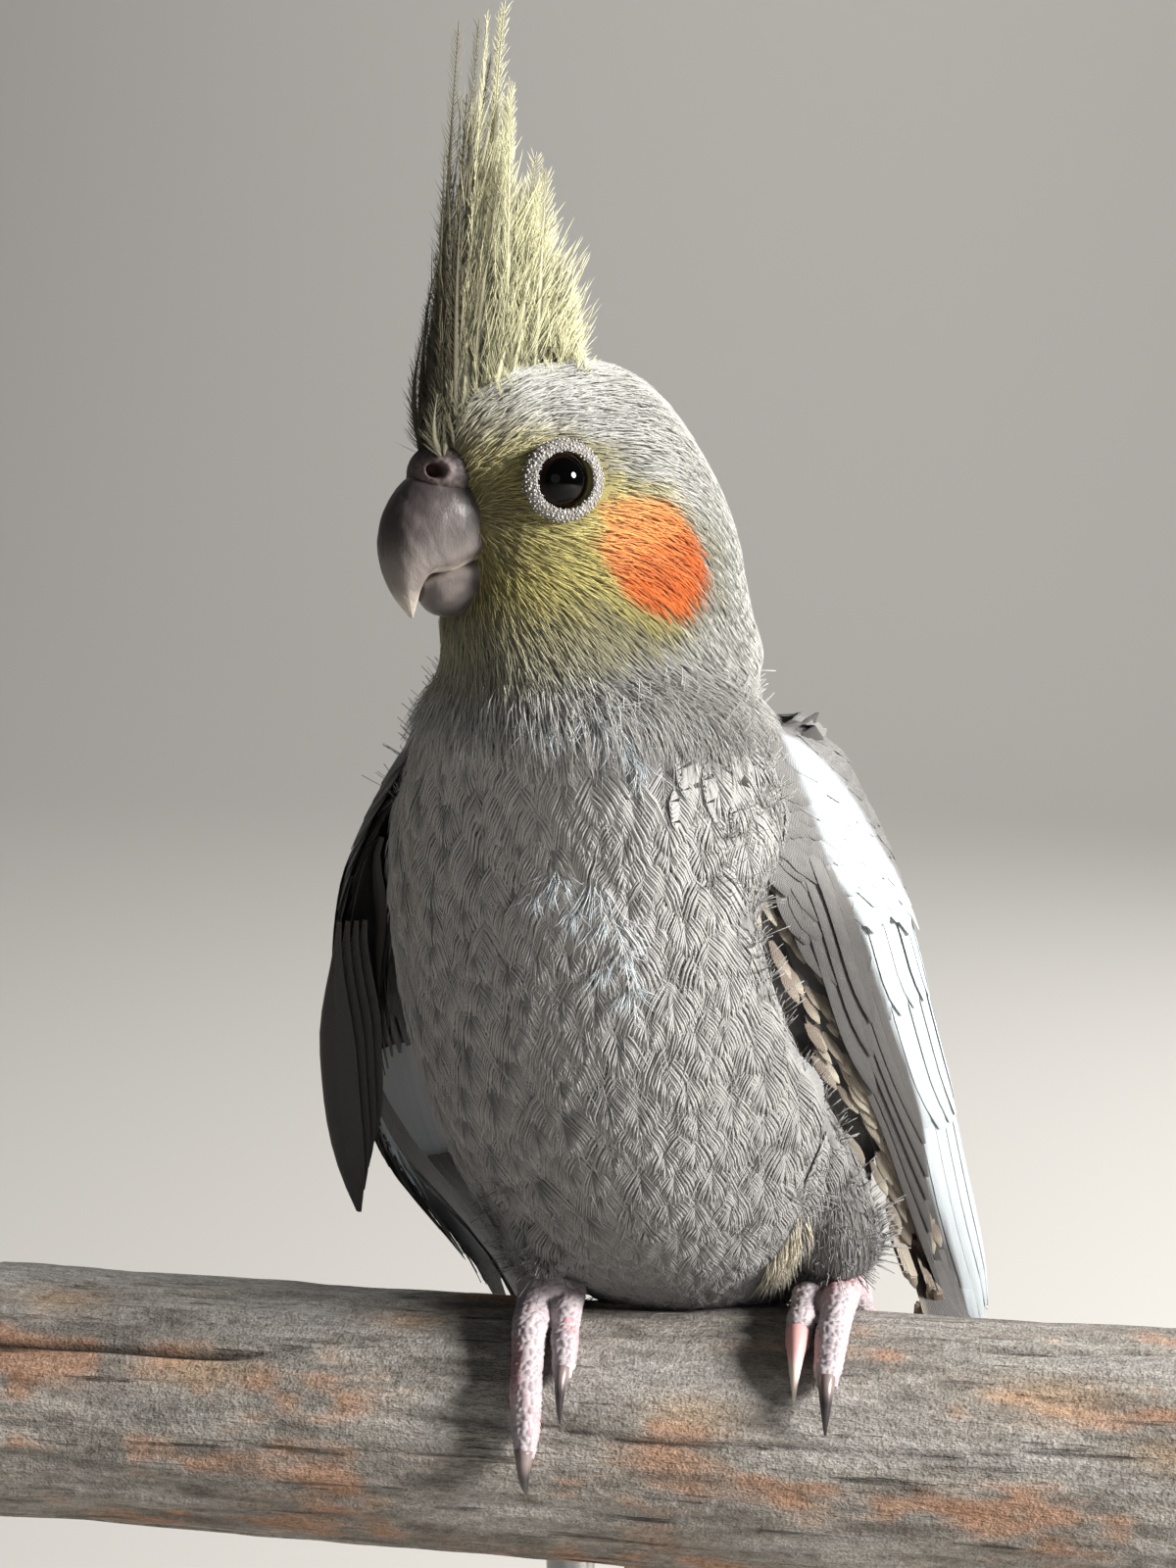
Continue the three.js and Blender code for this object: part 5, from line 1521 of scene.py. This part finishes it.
def make_eyes():
    rng = np.random.default_rng(3)
    for name, side in (("left", 1), ("right", -1)):
        eye = shape(ball(f"eye_{name}_ball", 64, 48), eye_form(side))
        turn_out(eye)
        f, _, u = in_head(place_of(eye))
        out = np.hypot(f, u)
        tint_points(eye, paint("#020202", ("#1a0e09", smooth(out, 2.55, 2.75)),
                               ("#060404", smooth(out, 2.95, 3.15))))
        settle(eye, MATERIAL["eye"], [f"eye_{name}"])
        make_lids(name, side, rng)


# Rows of grains round an eye: radius, size and number
LID_GRAINS = [(3.24, 0.09, 62), (3.42, 0.12, 58), (3.66, 0.14, 54), (3.94, 0.15, 54), (4.22, 0.14, 58),
              (4.46, 0.12, 62), (4.66, 0.09, 60)]


def make_lids(name, side, rng):
    """Bare rim of the lids with rows of small grains."""
    def beyond(wide, ahead, rise):
        return side * (11.7 + rise - 0.42 * wide - 0.16 * ahead)

    count, tube, middle = 72, 14, 3.88
    around = np.linspace(0, 2 * math.pi, count, endpoint=False)
    turned = np.linspace(0, 2 * math.pi, tube, endpoint=False)
    around, turned = (a.ravel() for a in np.meshgrid(around, turned, indexing="ij"))
    wide = 0.7 * np.cos(turned)
    r = middle + wide
    ahead = r * np.cos(around)
    points = on_head(ahead, beyond(wide, ahead, 0.34 * np.sin(turned)), r * np.sin(around))
    i = np.arange(count)[:, None]
    j = np.arange(tube)[None]
    row, row_after = i * tube, (i + 1) % count * tube
    j_after = (j + 1) % tube
    quads = np.stack([row + j, row + j_after, row_after + j_after, row_after + j], -1).reshape(-1, 4)
    flat = np.zeros((len(points), 2))
    dull = with_alpha(np.broadcast_to(linear("#7d7874"), (len(points), 3)), 1)
    ring = turn_out(mesh_of(f"lid_{name}_ring", points, [quads], dull, flat, flat + 0.5))
    beads = []
    for number, (reach, size, many) in enumerate(LID_GRAINS):
        for k in range(many):
            a = (k + 0.5 * (number % 2)) / many * 2 * math.pi + rng.normal(0, 0.025)
            r = reach + rng.normal(0, 0.06)
            wide, ahead = r - middle, r * math.cos(a)
            rise = 0.36 * np.sqrt(np.clip(1 - (wide / 0.8) ** 2, 0, 1))
            beads.append((ahead, beyond(wide, ahead, rise), r * math.sin(a), size * rng.uniform(0.6, 1.25)))
    beads = np.array(beads)
    grain = ball(f"lid_{name}_grain", 8, 6)
    unit_points = coordinates(grain)
    faces = [np.array(p.vertices) for p in grain.data.polygons]
    quads = np.array([f for f in faces if len(f) == 4])
    fans = np.array([f for f in faces if len(f) == 3])
    bpy.data.objects.remove(grain)
    centres = on_head(beads[:, 0], beads[:, 1], beads[:, 2])
    points = centres[:, None] + unit_points[None] * beads[:, 3][:, None, None]
    block = (np.arange(len(beads)) * len(unit_points))[:, None, None]
    faces = [(quads[None] + block).reshape(-1, 4), (fans[None] + block).reshape(-1, 3)]
    tone = linear("#cdcac5")[None] * rng.uniform(0.55, 1.0, (len(beads), 1))
    tint = with_alpha(np.repeat(tone, len(unit_points), 0), 1)
    flat = np.zeros((len(tint), 2))
    grains = mesh_of(f"lid_{name}_grains", points.reshape(-1, 3), faces, tint, flat, flat + 0.5)
    piece = join([ring, grains], f"lid_{name}")
    settle(piece, MATERIAL["lid"])


# Bill
RIDGE = [[7, 1], [13.2, 0.6], [16.2, -2.6], [17.3, -6.4], [17.0, -10], [15.8, -13], [13.9, -15.4]]
EDGE = [[1, -8.6], [5.9, -9], [9.6, -10.4], [12, -10.6], [13, -12.2], [13.3, -13.8], [13.6, -15.6]]
BILL_HALF = [[5.0], [5.3], [4.8], [4.0], [2.9], [1.8], [0.45]]
LOWER_BILL = [[2, -11.4, 2.8, 4.6], [6, -11.9, 3.1, 4.6], [9, -12.5, 3.1, 4.0], [11.4, -12.8, 2.2, 2.8],
              [12.6, -12.6, 1.1, 1.6]]


def boxed(angle, way):
    """Height and breadth round a section: rounded on one side, with steep walls on the other."""
    power = mix(1, 0.5, smooth(way * np.cos(angle), 0, 0.5))
    height = np.sign(np.cos(angle)) * np.abs(np.cos(angle)) ** power
    return height, np.sign(np.sin(angle)) * np.abs(np.sin(angle)) ** power


def upper_bill_form(share, angle):
    top, low, half = curve(RIDGE), curve(EDGE), curve(BILL_HALF)
    place, shut = capped(share, 0.05)
    a, b, h = top(place), low(place), half(place)[:, 0]
    middle = (a + b) / 2
    reach = (a - b) / 2
    c, across = boxed(angle, -1)
    c = c * shut
    pinch = 1 - 0.16 * smooth(-np.cos(angle), 0.2, 1)
    s = across * h * pinch * shut
    return on_head(middle[:, 0] + reach[:, 0] * c, s, middle[:, 1] + reach[:, 1] * c)


def lower_bill_form(share, angle):
    line = curve(LOWER_BILL)
    place, shut = capped(share, 0.08)
    f, u, high, side = line(place).T
    rise, across = boxed(angle, 1)
    return on_head(f, across * side * shut * 0.9, u + rise * high * shut)


def layered(points, normals, seed, depth):
    """Thin worn layers of horn: broken ridges that run towards the tip."""
    f, side, u = in_head(points)
    stretched = np.stack([side * 1.0, (u + 0.4 * f) * 0.35, (f - 0.4 * u) * 0.8], -1)
    flakes = clump(stretched, 0.9, seed) * 0.6 + clump(stretched, 0.4, seed + 1) * 0.4
    return points + normals * (depth * np.floor(flakes * 3) / 3)[:, None]


def point_normals(piece):
    return triples(piece.data.vertices, "normal")


def make_bill():
    upper = turn_out(shape(ball("bill_upper_horn", 96, 110), upper_bill_form))
    points = place_of(upper)
    move(upper, layered(points, point_normals(upper), 3, 0.07))
    f, side, u = in_head(points)
    flakes = clump(np.stack([side * 1.2, u * 0.35, f * 1.1], -1), 0.8, 4)
    cutting_edge = np.interp(f, [5.9, 9.6, 12, 13, 13.6], [-8.8, -10.1, -10.3, -12.2, -15.6])
    rim = np.abs(u - (cutting_edge + 0.25 * clump(points, 1.1, 41)))
    tint_points(upper, paint(
        "#4e4746", ("#7a716e", smooth(flakes, -0.1, 0.8) * 0.5), ("#948a85", 0.55 * smooth(-u, 5, 11)),
        ("#3f383a", 0.5 * smooth(u, -3, 0.5)), ("#d3c8bb", smooth(-u, 11.5, 15) * 0.8),
        ("#cfc5b8", 0.85 * (1 - smooth(rim, 0.15, 0.75)) * smooth(f, 4, 7))))
    settle(upper, MATERIAL["horn"], ["bill_upper"])
    lower = turn_out(shape(ball("bill_lower_horn", 72, 60), lower_bill_form))
    points = place_of(lower)
    move(lower, layered(points, point_normals(lower), 9, 0.05))
    f, _, u = in_head(points)
    tint_points(lower, paint("#58504e", ("#857b76", smooth(clump(points, 1.2, 6), -0.2, 0.8) * 0.7),
                             ("#a79c94", 0.5 * smooth(u + 0.25 * (f - 9), -11.6, -10.4))))
    settle(lower, MATERIAL["horn"], ["bill_lower"])


NOSTRIL = (12.0, 1.1)


def cere_form(share, angle):
    polar = share * math.pi
    x, y, z = np.sin(polar) * np.cos(angle), np.sin(polar) * np.sin(angle), np.cos(polar)
    a = math.radians(20)
    f, u = x * 4.35 * math.cos(a) + z * 3.65 * math.sin(a), -x * 4.35 * math.sin(a) + z * 3.65 * math.cos(a)
    side = y * 4.7
    for way in (-1, 1):
        away = np.hypot(f + 9.4 - NOSTRIL[0], u + 0.9 - NOSTRIL[1])
        facing = smooth(side * way, 1.5, 3.4)
        rim = 0.28 * np.exp(-((away - 1.35) / 0.42) ** 2)
        hole = -1.5 * (1 - smooth(away, 0.35, 1.05))
        side = side + way * facing * (rim + hole)
    return on_head(9.4 + f, side, 0.9 + u)


def make_cere():
    cere = turn_out(shape(ball("cere_skin", 150, 110), cere_form))
    points = place_of(cere)
    grains = clump(points, 0.3, 8) * 0.05 + clump(points, 0.7, 9) * 0.05
    move(cere, points + point_normals(cere) * grains[:, None])
    f, _, u = in_head(points)
    away = np.hypot(f - NOSTRIL[0], u - NOSTRIL[1])
    # The dark in the middle of each nostril is painted shade in its hole.
    tint_points(cere, paint("#433a3a", ("#665c5a", smooth(clump(points, 0.32, 12), -0.4, 0.8) * 0.7),
                            ("#867573", 0.6 * np.exp(-((away - 1.25) / 0.4) ** 2)),
                            ("#3a1c18", 1 - smooth(away, 0.6, 1.0))))
    settle(cere, MATERIAL["lid"], ["cere"])


# Feet
ALONG_LOG = np.array([1.0, 0, 0])


def toe_place(foot, name, way, t):
    toe = TOES[name]
    angle = np.radians(mix(foot["ball"], foot[name], t))
    return foot["x"] + way * mix(toe["root"], toe["tip"], smooth(t, 0, 1)), angle


def toe_form(foot, name, way):
    toe = TOES[name]

    def form(share, turned):
        t, shut = capped(share, 0.05)
        x, angle = toe_place(foot, name, way, t)
        knuckle = 0.2 * np.cos(t * math.pi * 6) * smooth(np.sin(turned), -0.4, 0.6)
        radius = (TOE_RADIUS * mix(1.02, 0.72, t) + knuckle) * toe["thick"]
        thick = radius * mix(1, 0.7, smooth(t, 0.85, 1)) * shut
        aside = (np.cos(turned) * thick)[:, None] * ALONG_LOG
        above = (np.sin(turned) * thick * 0.95)[:, None] * outward(angle)
        return over_perch(x, angle, GAP + radius) + aside + above

    return form


def claw_form(foot, name, way):
    """A claw curved round the log; the left inner front one is longer and thicker at its root."""
    toe = TOES[name]
    long = foot["x"] > 0 and name == "inner_front"
    tip_radius = TOE_RADIUS * 0.72 * toe["thick"]
    sweep = math.radians(CLAW_SWEEP) * np.sign(foot[name])

    def form(share, turned):
        end = 0.04
        t = np.clip((share - end) / (1 - end), 0, 1)
        shut = np.sqrt(np.clip(share / end, 0, 1))
        x, angle = toe_place(foot, name, way, np.ones_like(t))
        along = angle + sweep * mix(-0.55 if long else -0.2, 1, t)
        thick = mix(2.3 if long else 1.5, 0.14, t ** 1.1) * toe["thick"] * shut
        lift = mix(tip_radius * 1.25, 0.4, t * t) + np.sin(t * math.pi) * 0.7
        aside = (np.cos(turned) * thick * 0.8)[:, None] * ALONG_LOG
        return over_perch(x, along, GAP + lift) + aside + outward(along) * (np.sin(turned) * thick)[:, None]

    return form


def ankle_form(foot):
    low = over_perch(foot["x"], math.radians(foot["ball"]), GAP + 1.2)
    back = [low[1] + 0.22 * (z - low[2]) for z in (7.5, 13, 20)]
    x = foot["x"]
    line = curve([
        [*low, 3.8, 4.2], [x, low[1], low[2] + 2.4, 3.9, 4.3], [x, back[0], 7.5, 2.7, 3.0],
        [x * 0.97, back[1], 13, 2.2, 2.4], [x * 0.93, back[2], 20, 2.2, 2.4],
    ])

    def form(share, angle):
        place, shut = capped(share, 0.08)
        x, y, z, wide, deep = line(place).T
        return np.stack([x + np.cos(angle) * wide * shut, y + np.sin(angle) * deep * shut, z], -1)

    return form


def make_scales(points, normals):
    """The foot's scales: rounded plates, broader over the toes, with the pale edges of dry skin."""
    on_top = smooth(np.sum(normals * outward(round_perch(points)), -1), 0.3, 0.8)
    near, border = scale_cells(points * mix(1.0, 0.8, on_top)[:, None] + (0, 0.4, 0), 0.76, 21)
    height = smooth(border, 0.02, 0.3) * (1 - 0.35 * near)
    return height, 1 - smooth(border, 0.04, 0.22)


def make_feet():
    for side, foot in FEET.items():
        way = 1 if side == "left" else -1
        parts = [shape(ball(f"foot_{side}_{name}", 28, 60), toe_form(foot, name, way)) for name in TOES]
        parts.append(shape(ball(f"foot_{side}_ankle", 28, 40), ankle_form(foot)))
        skin = fuse(parts, f"foot_{side}_skin", 0.22, 5)
        turn_out(skin)
        points = place_of(skin)
        normals = point_normals(skin)
        height, edge = make_scales(points, normals)
        move(skin, points + normals * (0.2 * (height - 0.6))[:, None])
        tint_points(skin, paint("#a3979d", ("#b5a9ad", smooth(clump(points, 1.7, 31), -0.5, 0.6)),
                                ("#c4868b", 0.7 * smooth(clump(points, 5, 35), 0.1, 0.5)),
                                ("#cdc6c8", 0.6 * edge)))
        nodes = [f"foot_{side}"] + [f"toe_{side}_{name}" for name in TOES]
        settle(skin, MATERIAL["foot"], nodes)
        for name in TOES:
            claw = turn_out(shape(ball(f"claw_{side}_{name}_horn", 24, 40), claw_form(foot, name, way)))
            beyond = round_perch(place_of(claw)) - math.radians(foot[name])
            share = beyond / (math.radians(CLAW_SWEEP) * np.sign(foot[name]))
            pale = name == "inner_front" and side == "left"
            root, tip = ("#d09c9a", "#d8c8bf") if pale else ("#7c6e6c", "#2c2829")
            tint_points(claw, paint(root, (tip, smooth(share, 0.0, 0.45))))
            settle(claw, MATERIAL["claw"], [f"claw_{side}_{name}"])


# Log
# Cracks: angle round the log from its top, start and end along it, width, depth
CRACKS = [
    (0.75, -95, -45, 1.9, 1.0), (1.18, -40, 81, 1.2, 0.6), (1.5, 5, 60, 0.8, 0.4), (-0.55, -70, 40, 1.4, 0.8),
    (2.6, -90, 60, 1.6, 0.9), (-1.7, -20, 81, 1.3, 0.8), (0.25, 30, 81, 0.9, 0.6),
]
# Scars: place along the log, angle, length, width
SCARS = [
    (-60, 0.9, 7, 2.2), (-34, 0.35, 5, 2.0), (48, 0.7, 8, 2.6), (62, 1.1, 5, 1.8), (-82, 0.3, 6, 2.4),
    (4, 1.0, 6, 2),
]


def log_form(share, angle):
    """The log's round between two flat sawn ends."""
    place, shut = capped(share, 0.035)
    x = mix(PERCH_FROM + GAP, PERCH_TO - GAP, place)
    return over_perch(x, angle, perch_radius(x, angle) * (shut ** 2 - 1))


def round_log(x, angle, long, round_it):
    """Points for noise that is stretched along the log."""
    return np.stack([x / long, np.cos(angle) * round_it, np.sin(angle) * round_it], -1)


def wood_relief(x, angle):
    """Depth below the round of the log, and how far each spot is into a crack or scar."""
    ring = round_log(x, angle, 14, 8)
    fine = round_log(x, angle, 9, 22)
    finest = fine * (1.6, 2.2, 2.2)
    depth = 0.34 * clump(ring, 1.0, 1) + 0.17 * clump(fine, 1.0, 2) + 0.08 * clump(finest, 1.0, 3)
    crack = np.zeros_like(x)
    for number, (at, start, stop, wide, deep) in enumerate(CRACKS):
        wander = at + 0.05 * np.sin(x / 17 + number) + 0.02 * np.sin(x / 5.3 + 2 * number)
        off = np.angle(np.exp(1j * (angle - wander))) * PERCH_RADIUS
        begun = smooth(x, start, start + 12) if start > PERCH_FROM else 1
        ended = 1 - smooth(x, stop - (12 if start > PERCH_FROM else 14), stop) if stop < PERCH_TO else 1
        mask = begun * ended
        crack = np.maximum(crack, mask * deep * np.exp(-(off / (0.32 * wide)) ** 2))
    scar = np.zeros_like(x)
    for at, where, long, wide in SCARS:
        off = np.angle(np.exp(1j * (angle - where))) * PERCH_RADIUS
        scar = np.maximum(scar, np.exp(-((x - at) / long) ** 2 - (off / wide) ** 2))
    return depth - 1.5 * crack - 0.7 * scar * (0.6 + 0.4 * clump(fine, 0.7, 6)), crack, scar


def make_log():
    log = ball("perch_log", 170, 340)
    share, angle = ball_grid(log)
    points = log_form(share, angle)
    x = points[:, 0]
    radius = np.hypot(points[:, 1], points[:, 2] + PERCH_RADIUS)
    depth, crack, scar = wood_relief(x, angle)
    cut = np.minimum(share, 1 - share) < 0.034
    points = points + outward(angle) * np.where(cut, 0, depth - 0.35)[:, None]
    rings = np.sin(radius * 2 * math.pi / 1.4 + 2 * clump(points, 6, 4))
    points[:, 0] += np.where(cut, np.sign(share - 0.5) * (0.12 * rings + 0.2 * clump(points, 1.5, 5)), 0)
    move(log, points)
    turn_out(log)
    streak = clump(round_log(x, angle, 6, 18), 1.0, 11)
    blot = clump(round_log(x, angle, 4, 9), 1.0, 14)
    broad = clump(round_log(x, angle, 22, 2.6), 1.0, 12)
    warm = smooth(broad + 0.45 * blot + 0.25 * streak, 0.1, 0.75)
    bark = paint("#94908a", ("#b5b1aa", smooth(streak + 0.6 * blot, -0.5, 0.9)),
                 ("#6f6a64", smooth(-streak, 0.15, 0.8) * 0.6),
                 ("#c2bfbc", 0.5 * smooth(-broad - 0.4 * blot, 0.05, 0.6)), ("#b98a6a", warm * 0.72),
                 ("#c7a988", 0.6 * scar), ("#38332e", smooth(crack, 0.2, 0.9)))
    end_grain = paint("#9a8b76", ("#756755", smooth(rings, -0.2, 0.8)))
    tint_points(log, np.where(cut[:, None], end_grain, bark))
    settle(log, MATERIAL["wood"], ["perch"])


# Stand
def make_stand():
    low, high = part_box("stand_base")
    size = high - low
    pick()
    bpy.ops.mesh.primitive_cube_add(size=1, location=(low + high) / 2)
    base = bpy.context.object
    base.name = "stand_base_board"
    base.scale = size
    bpy.ops.object.transform_apply(location=True, rotation=True, scale=True)
    bpy.ops.object.mode_set(mode="EDIT")
    bpy.ops.mesh.select_mode(type="EDGE")
    bpy.ops.mesh.select_all(action="DESELECT")
    bpy.ops.object.mode_set(mode="OBJECT")
    for edge in base.data.edges:
        a, b = (base.data.vertices[i].co for i in edge.vertices)
        edge.select = abs(a.z - b.z) > size.z * 0.5
    bpy.ops.object.mode_set(mode="EDIT")
    bpy.ops.mesh.bevel(offset=14 * MM, segments=12)
    bpy.ops.object.mode_set(mode="OBJECT")
    apply_modifier(base, "BEVEL", width=1.4 * MM, segments=3, limit_method="ANGLE")
    base.data.shade_smooth()
    base.data.name = base.name
    bpy.ops.object.shade_smooth_by_angle(angle=math.radians(35))
    settle(base, MATERIAL["board"], ["stand_base"])
    for name in ("stand_rod_right", "stand_rod_left"):
        low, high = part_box(name)
        pick()
        # The rod runs on into the log by 1.4 mm
        middle = (low + high) / 2 + Vector((0, 0, 0.7 * MM))
        tall = high.z - low.z + 1.4 * MM
        radius = (high.x - low.x) / 2
        bpy.ops.mesh.primitive_cylinder_add(vertices=48, radius=radius, depth=tall, location=middle)
        rod = bpy.context.object
        rod.name = f"{name}_steel"
        bpy.ops.object.transform_apply(location=True, rotation=True, scale=True)
        apply_modifier(rod, "BEVEL", width=0.4 * MM, segments=2, limit_method="ANGLE")
        rod.data.name = rod.name
        bpy.ops.object.shade_smooth_by_angle(angle=math.radians(35))
        settle(rod, MATERIAL["steel"], [name])


def make_materials():
    made = {}
    # Flight feathers: barbs hooked into a smooth web, a little glossy
    made["flight"] = feather_material("flight feather web", 0.45, 1.4, 0.1, 0.02, Roughness=0.55,
                                      Sheen_Weight=0.05, Sheen_Roughness=0.4, Specular_IOR_Level=0.35)
    made["tail"] = feather_material("tail feather web", 0.6, 1.3, 0.28, 0.05, 3.4, Roughness=0.6,
                                    Sheen_Weight=0.05, Sheen_Roughness=0.4, Specular_IOR_Level=0.35)
    # Loose hair-like barbs of the head, crest and down: dull threads
    made["hair"] = feather_material("hair-like plumage", 0.7, 0.2, 0.06, 0.01, Roughness=0.85,
                                    Sheen_Weight=0.2, Sheen_Roughness=0.5, Specular_IOR_Level=0.25)
    # Skin under the coat, dull and in shadow
    made["skin"] = tinted_material("bird skin under down", [(0.6, 0.6), (0.2, 0.4)], 0.15, 0.5, Roughness=0.9)
    # Bare granular skin: dry, a little waxy
    made["lid"] = tinted_material("bare granular skin", [(0.35, 0.6), (0.12, 0.4)], 0.1, 0.45, Roughness=0.6,
                                  Specular_IOR_Level=0.4)
    # Horn of the bill: layered keratin, half gloss
    made["horn"] = tinted_material("layered bill keratin", [(0.5, 0.5), (0.15, 0.5)], 0.08, 0.5, (1, 1, 0.5),
                                   Roughness=0.42, Coat_Weight=0.15, Coat_Roughness=0.3)
    # Claws: smooth horn
    made["claw"] = tinted_material("claw keratin", [(0.4, 0.6), (0.1, 0.4)], 0.03, 0.3, Roughness=0.3)
    # Eye: wet cornea over a very dark iris
    made["eye"] = tinted_material("wet eye", [(0.5, 1.0)], 0.002, 0.1, Roughness=0.04,
                                  Specular_IOR_Level=0.16)
    # Scales of the feet: dry skin plates
    made["foot"] = tinted_material("foot scales", [(0.4, 0.5), (0.12, 0.5)], 0.06, 0.5, Roughness=0.62,
                                   Subsurface_Weight=0.08, Subsurface_Scale=0.001)
    # Bare weathered log: raised grain, silver grey over brown
    made["wood"] = weathered_wood()
    made["board"] = painted_board()
    made["steel"] = brushed_steel()
    return made


def weathered_wood():
    """Grey weathered sapwood: fine fibres along the log, short dark checks, and painted shade where the fibres
    lie low, which leaves the raised fibres paler.
    """
    material = blank("weathered bare wood")
    tint = add(material, "Attribute", attribute_name="tint")
    fibre = noise_height(material, [(0.5, 0.6), (0.2, 0.4)], (0.22, 1, 1))
    rough = noise_height(material, [(0.9, 0.5), (0.3, 0.5)], (0.8, 1, 1))
    check = noise_height(material, [(1.3, 1.0)], (0.07, 1, 1))
    check = add(material, "Math", (check, 0.62), operation="SUBTRACT")
    check = add(material, "Math", (check, 9.0), operation="MULTIPLY")
    check = add(material, "Clamp", [check])
    both = add(material, "Math", (fibre, rough), operation="ADD")
    low = add(material, "Math", (check, -0.9), operation="MULTIPLY")
    height = add(material, "Math", (both, low), operation="ADD")
    # Painted shade: the colour darkens where the fibres' relief is low.
    grain = add(material, "Math", (1.28, both), operation="SUBTRACT")
    grain = add(material, "Math", (grain, 1.9), operation="MULTIPLY")
    colours = {FACTOR: add(material, "Clamp", [grain]), FIRST: tint, SECOND: (0.42, 0.39, 0.36, 1)}
    colour = add(material, "Mix", colours, MIXED, data_type="RGBA", blend_type="MULTIPLY")
    dark = add(material, "Math", (check, 0.75), operation="MULTIPLY")
    colours = {FACTOR: dark, FIRST: colour, SECOND: opaque("#3a3530")}
    colour = add(material, "Mix", colours, MIXED, data_type="RGBA")
    return finish(material, colour, height, 0.5, Roughness=0.92, Specular_IOR_Level=0.2)


def painted_board():
    """Satin paint on a board: faint roller stipple and slight shifts of tone."""
    material = blank("satin painted board")
    stipple = noise_height(material, [(1.6, 0.7), (0.5, 0.3)])
    shift = noise_height(material, [(40, 1.0)])
    colours = {FACTOR: shift, FIRST: opaque("#e2dcd0"), SECOND: opaque("#d3ccbf")}
    colour = add(material, "Mix", colours, MIXED, data_type="RGBA")
    return finish(material, colour, stipple, 0.04, Roughness=0.45)


def brushed_steel():
    """Steel rod brushed round its length, with fine scratches."""
    material = blank("brushed steel rod")
    scratch = noise_height(material, [(0.8, 1.0)], (0.2, 0.2, 3))
    rough = add(material, "Math", (scratch, 0.2), operation="MULTIPLY")
    rough = add(material, "Math", (rough, 0.22), operation="ADD")
    colours = {FACTOR: scratch, FIRST: opaque("#b4b4b2"), SECOND: opaque("#c8c8c6")}
    colour = add(material, "Mix", colours, MIXED, data_type="RGBA")
    return finish(material, colour, scratch, 0.01, Roughness=rough, Metallic=1.0, Anisotropic=0.4)


# Studio: camera where the photo was taken, pale floor and soft lights
CAMERA_AT = np.array([33.1, -282.3, 107.7])
CAMERA_AZIMUTH = 9.0
CAMERA_DROP = 7.8
FOCAL_PIXELS = 2323
FRAME_HEIGHT = 1600


def make_camera():
    data = bpy.data.cameras.new("camera")
    camera = link("camera", data)
    camera.location = to_scene(CAMERA_AT)
    camera.rotation_euler = (math.radians(90 - CAMERA_DROP), 0, math.radians(CAMERA_AZIMUTH))
    data.sensor_fit = "VERTICAL"
    data.sensor_height = 36
    data.lens = FOCAL_PIXELS * 36 / FRAME_HEIGHT
    data.clip_start = 0.01
    bpy.context.scene.camera = camera


def make_light(name, at, aim, size, watts, colour):
    """A round soft light, in metres over the floor."""
    data = bpy.data.lights.new(name, "AREA")
    data.shape = "DISK"
    data.size = size
    data.energy = watts
    data.color = colour
    light = link(name, data)
    light.location = at
    light.rotation_euler = (Vector(aim) - Vector(at)).to_track_quat("-Z", "Y").to_euler()


def make_backdrop():
    """Floor that sweeps up into a wall behind, without an edge."""
    pick()
    bpy.ops.mesh.primitive_grid_add(x_subdivisions=2, y_subdivisions=80, size=2)
    floor = bpy.context.object
    floor.name = "floor"
    co = coordinates(floor)
    along = (co[:, 1] + 1) / 2 * 9 - 3
    bend, sweep = 1.5, 1.4
    turned = np.clip((along - bend) / sweep, 0, math.pi / 2)
    over = np.maximum(along - bend - sweep * math.pi / 2, 0)
    y = np.minimum(along, bend) + sweep * np.sin(turned)
    z = sweep * (1 - np.cos(turned)) + over
    set_coordinates(floor, np.stack([co[:, 0] * 5, y, z - 0.0005], -1))
    floor.data.shade_smooth()
    material = finish(blank("pale studio floor"), opaque("#b9b6b1"), Roughness=0.95, Specular_IOR_Level=0.1)
    floor.data.materials.append(material)


def make_studio():
    make_camera()
    make_backdrop()
    middle = (0, 0, 0.23)
    make_light("key", (0.96, -0.25, 0.57), middle, 0.34, 36, (1, 0.985, 0.96))
    make_light("fill", (0.05, -1.2, 0.4), middle, 0.7, 0.75, (0.95, 0.97, 1))
    make_light("rim", (0.5, 0.8, 0.75), middle, 0.5, 6, (1, 1, 1))
    make_light("backdrop_wash", (0, 1.0, 2.4), (0, 2.9, 0.6), 1.4, 40, (1, 1, 1))
    world = bpy.data.worlds.new("studio")
    bpy.context.scene.world = world
    world.use_nodes = True
    world.node_tree.nodes["Background"].inputs[0].default_value = opaque("#dfe1e3")
    world.node_tree.nodes["Background"].inputs[1].default_value = 0.08
    bpy.context.scene.view_settings.view_transform = "Standard"


MATERIAL = make_materials()
make_studio()
wing_map = WingMap()
skin = Skin(make_skin(wing_map))
make_trunk(skin, wing_map)
make_head(skin)
make_down(skin)
make_crest()
make_wings(skin)
make_tail()
make_eyes()
make_bill()
make_cere()
make_feet()
make_log()
make_stand()
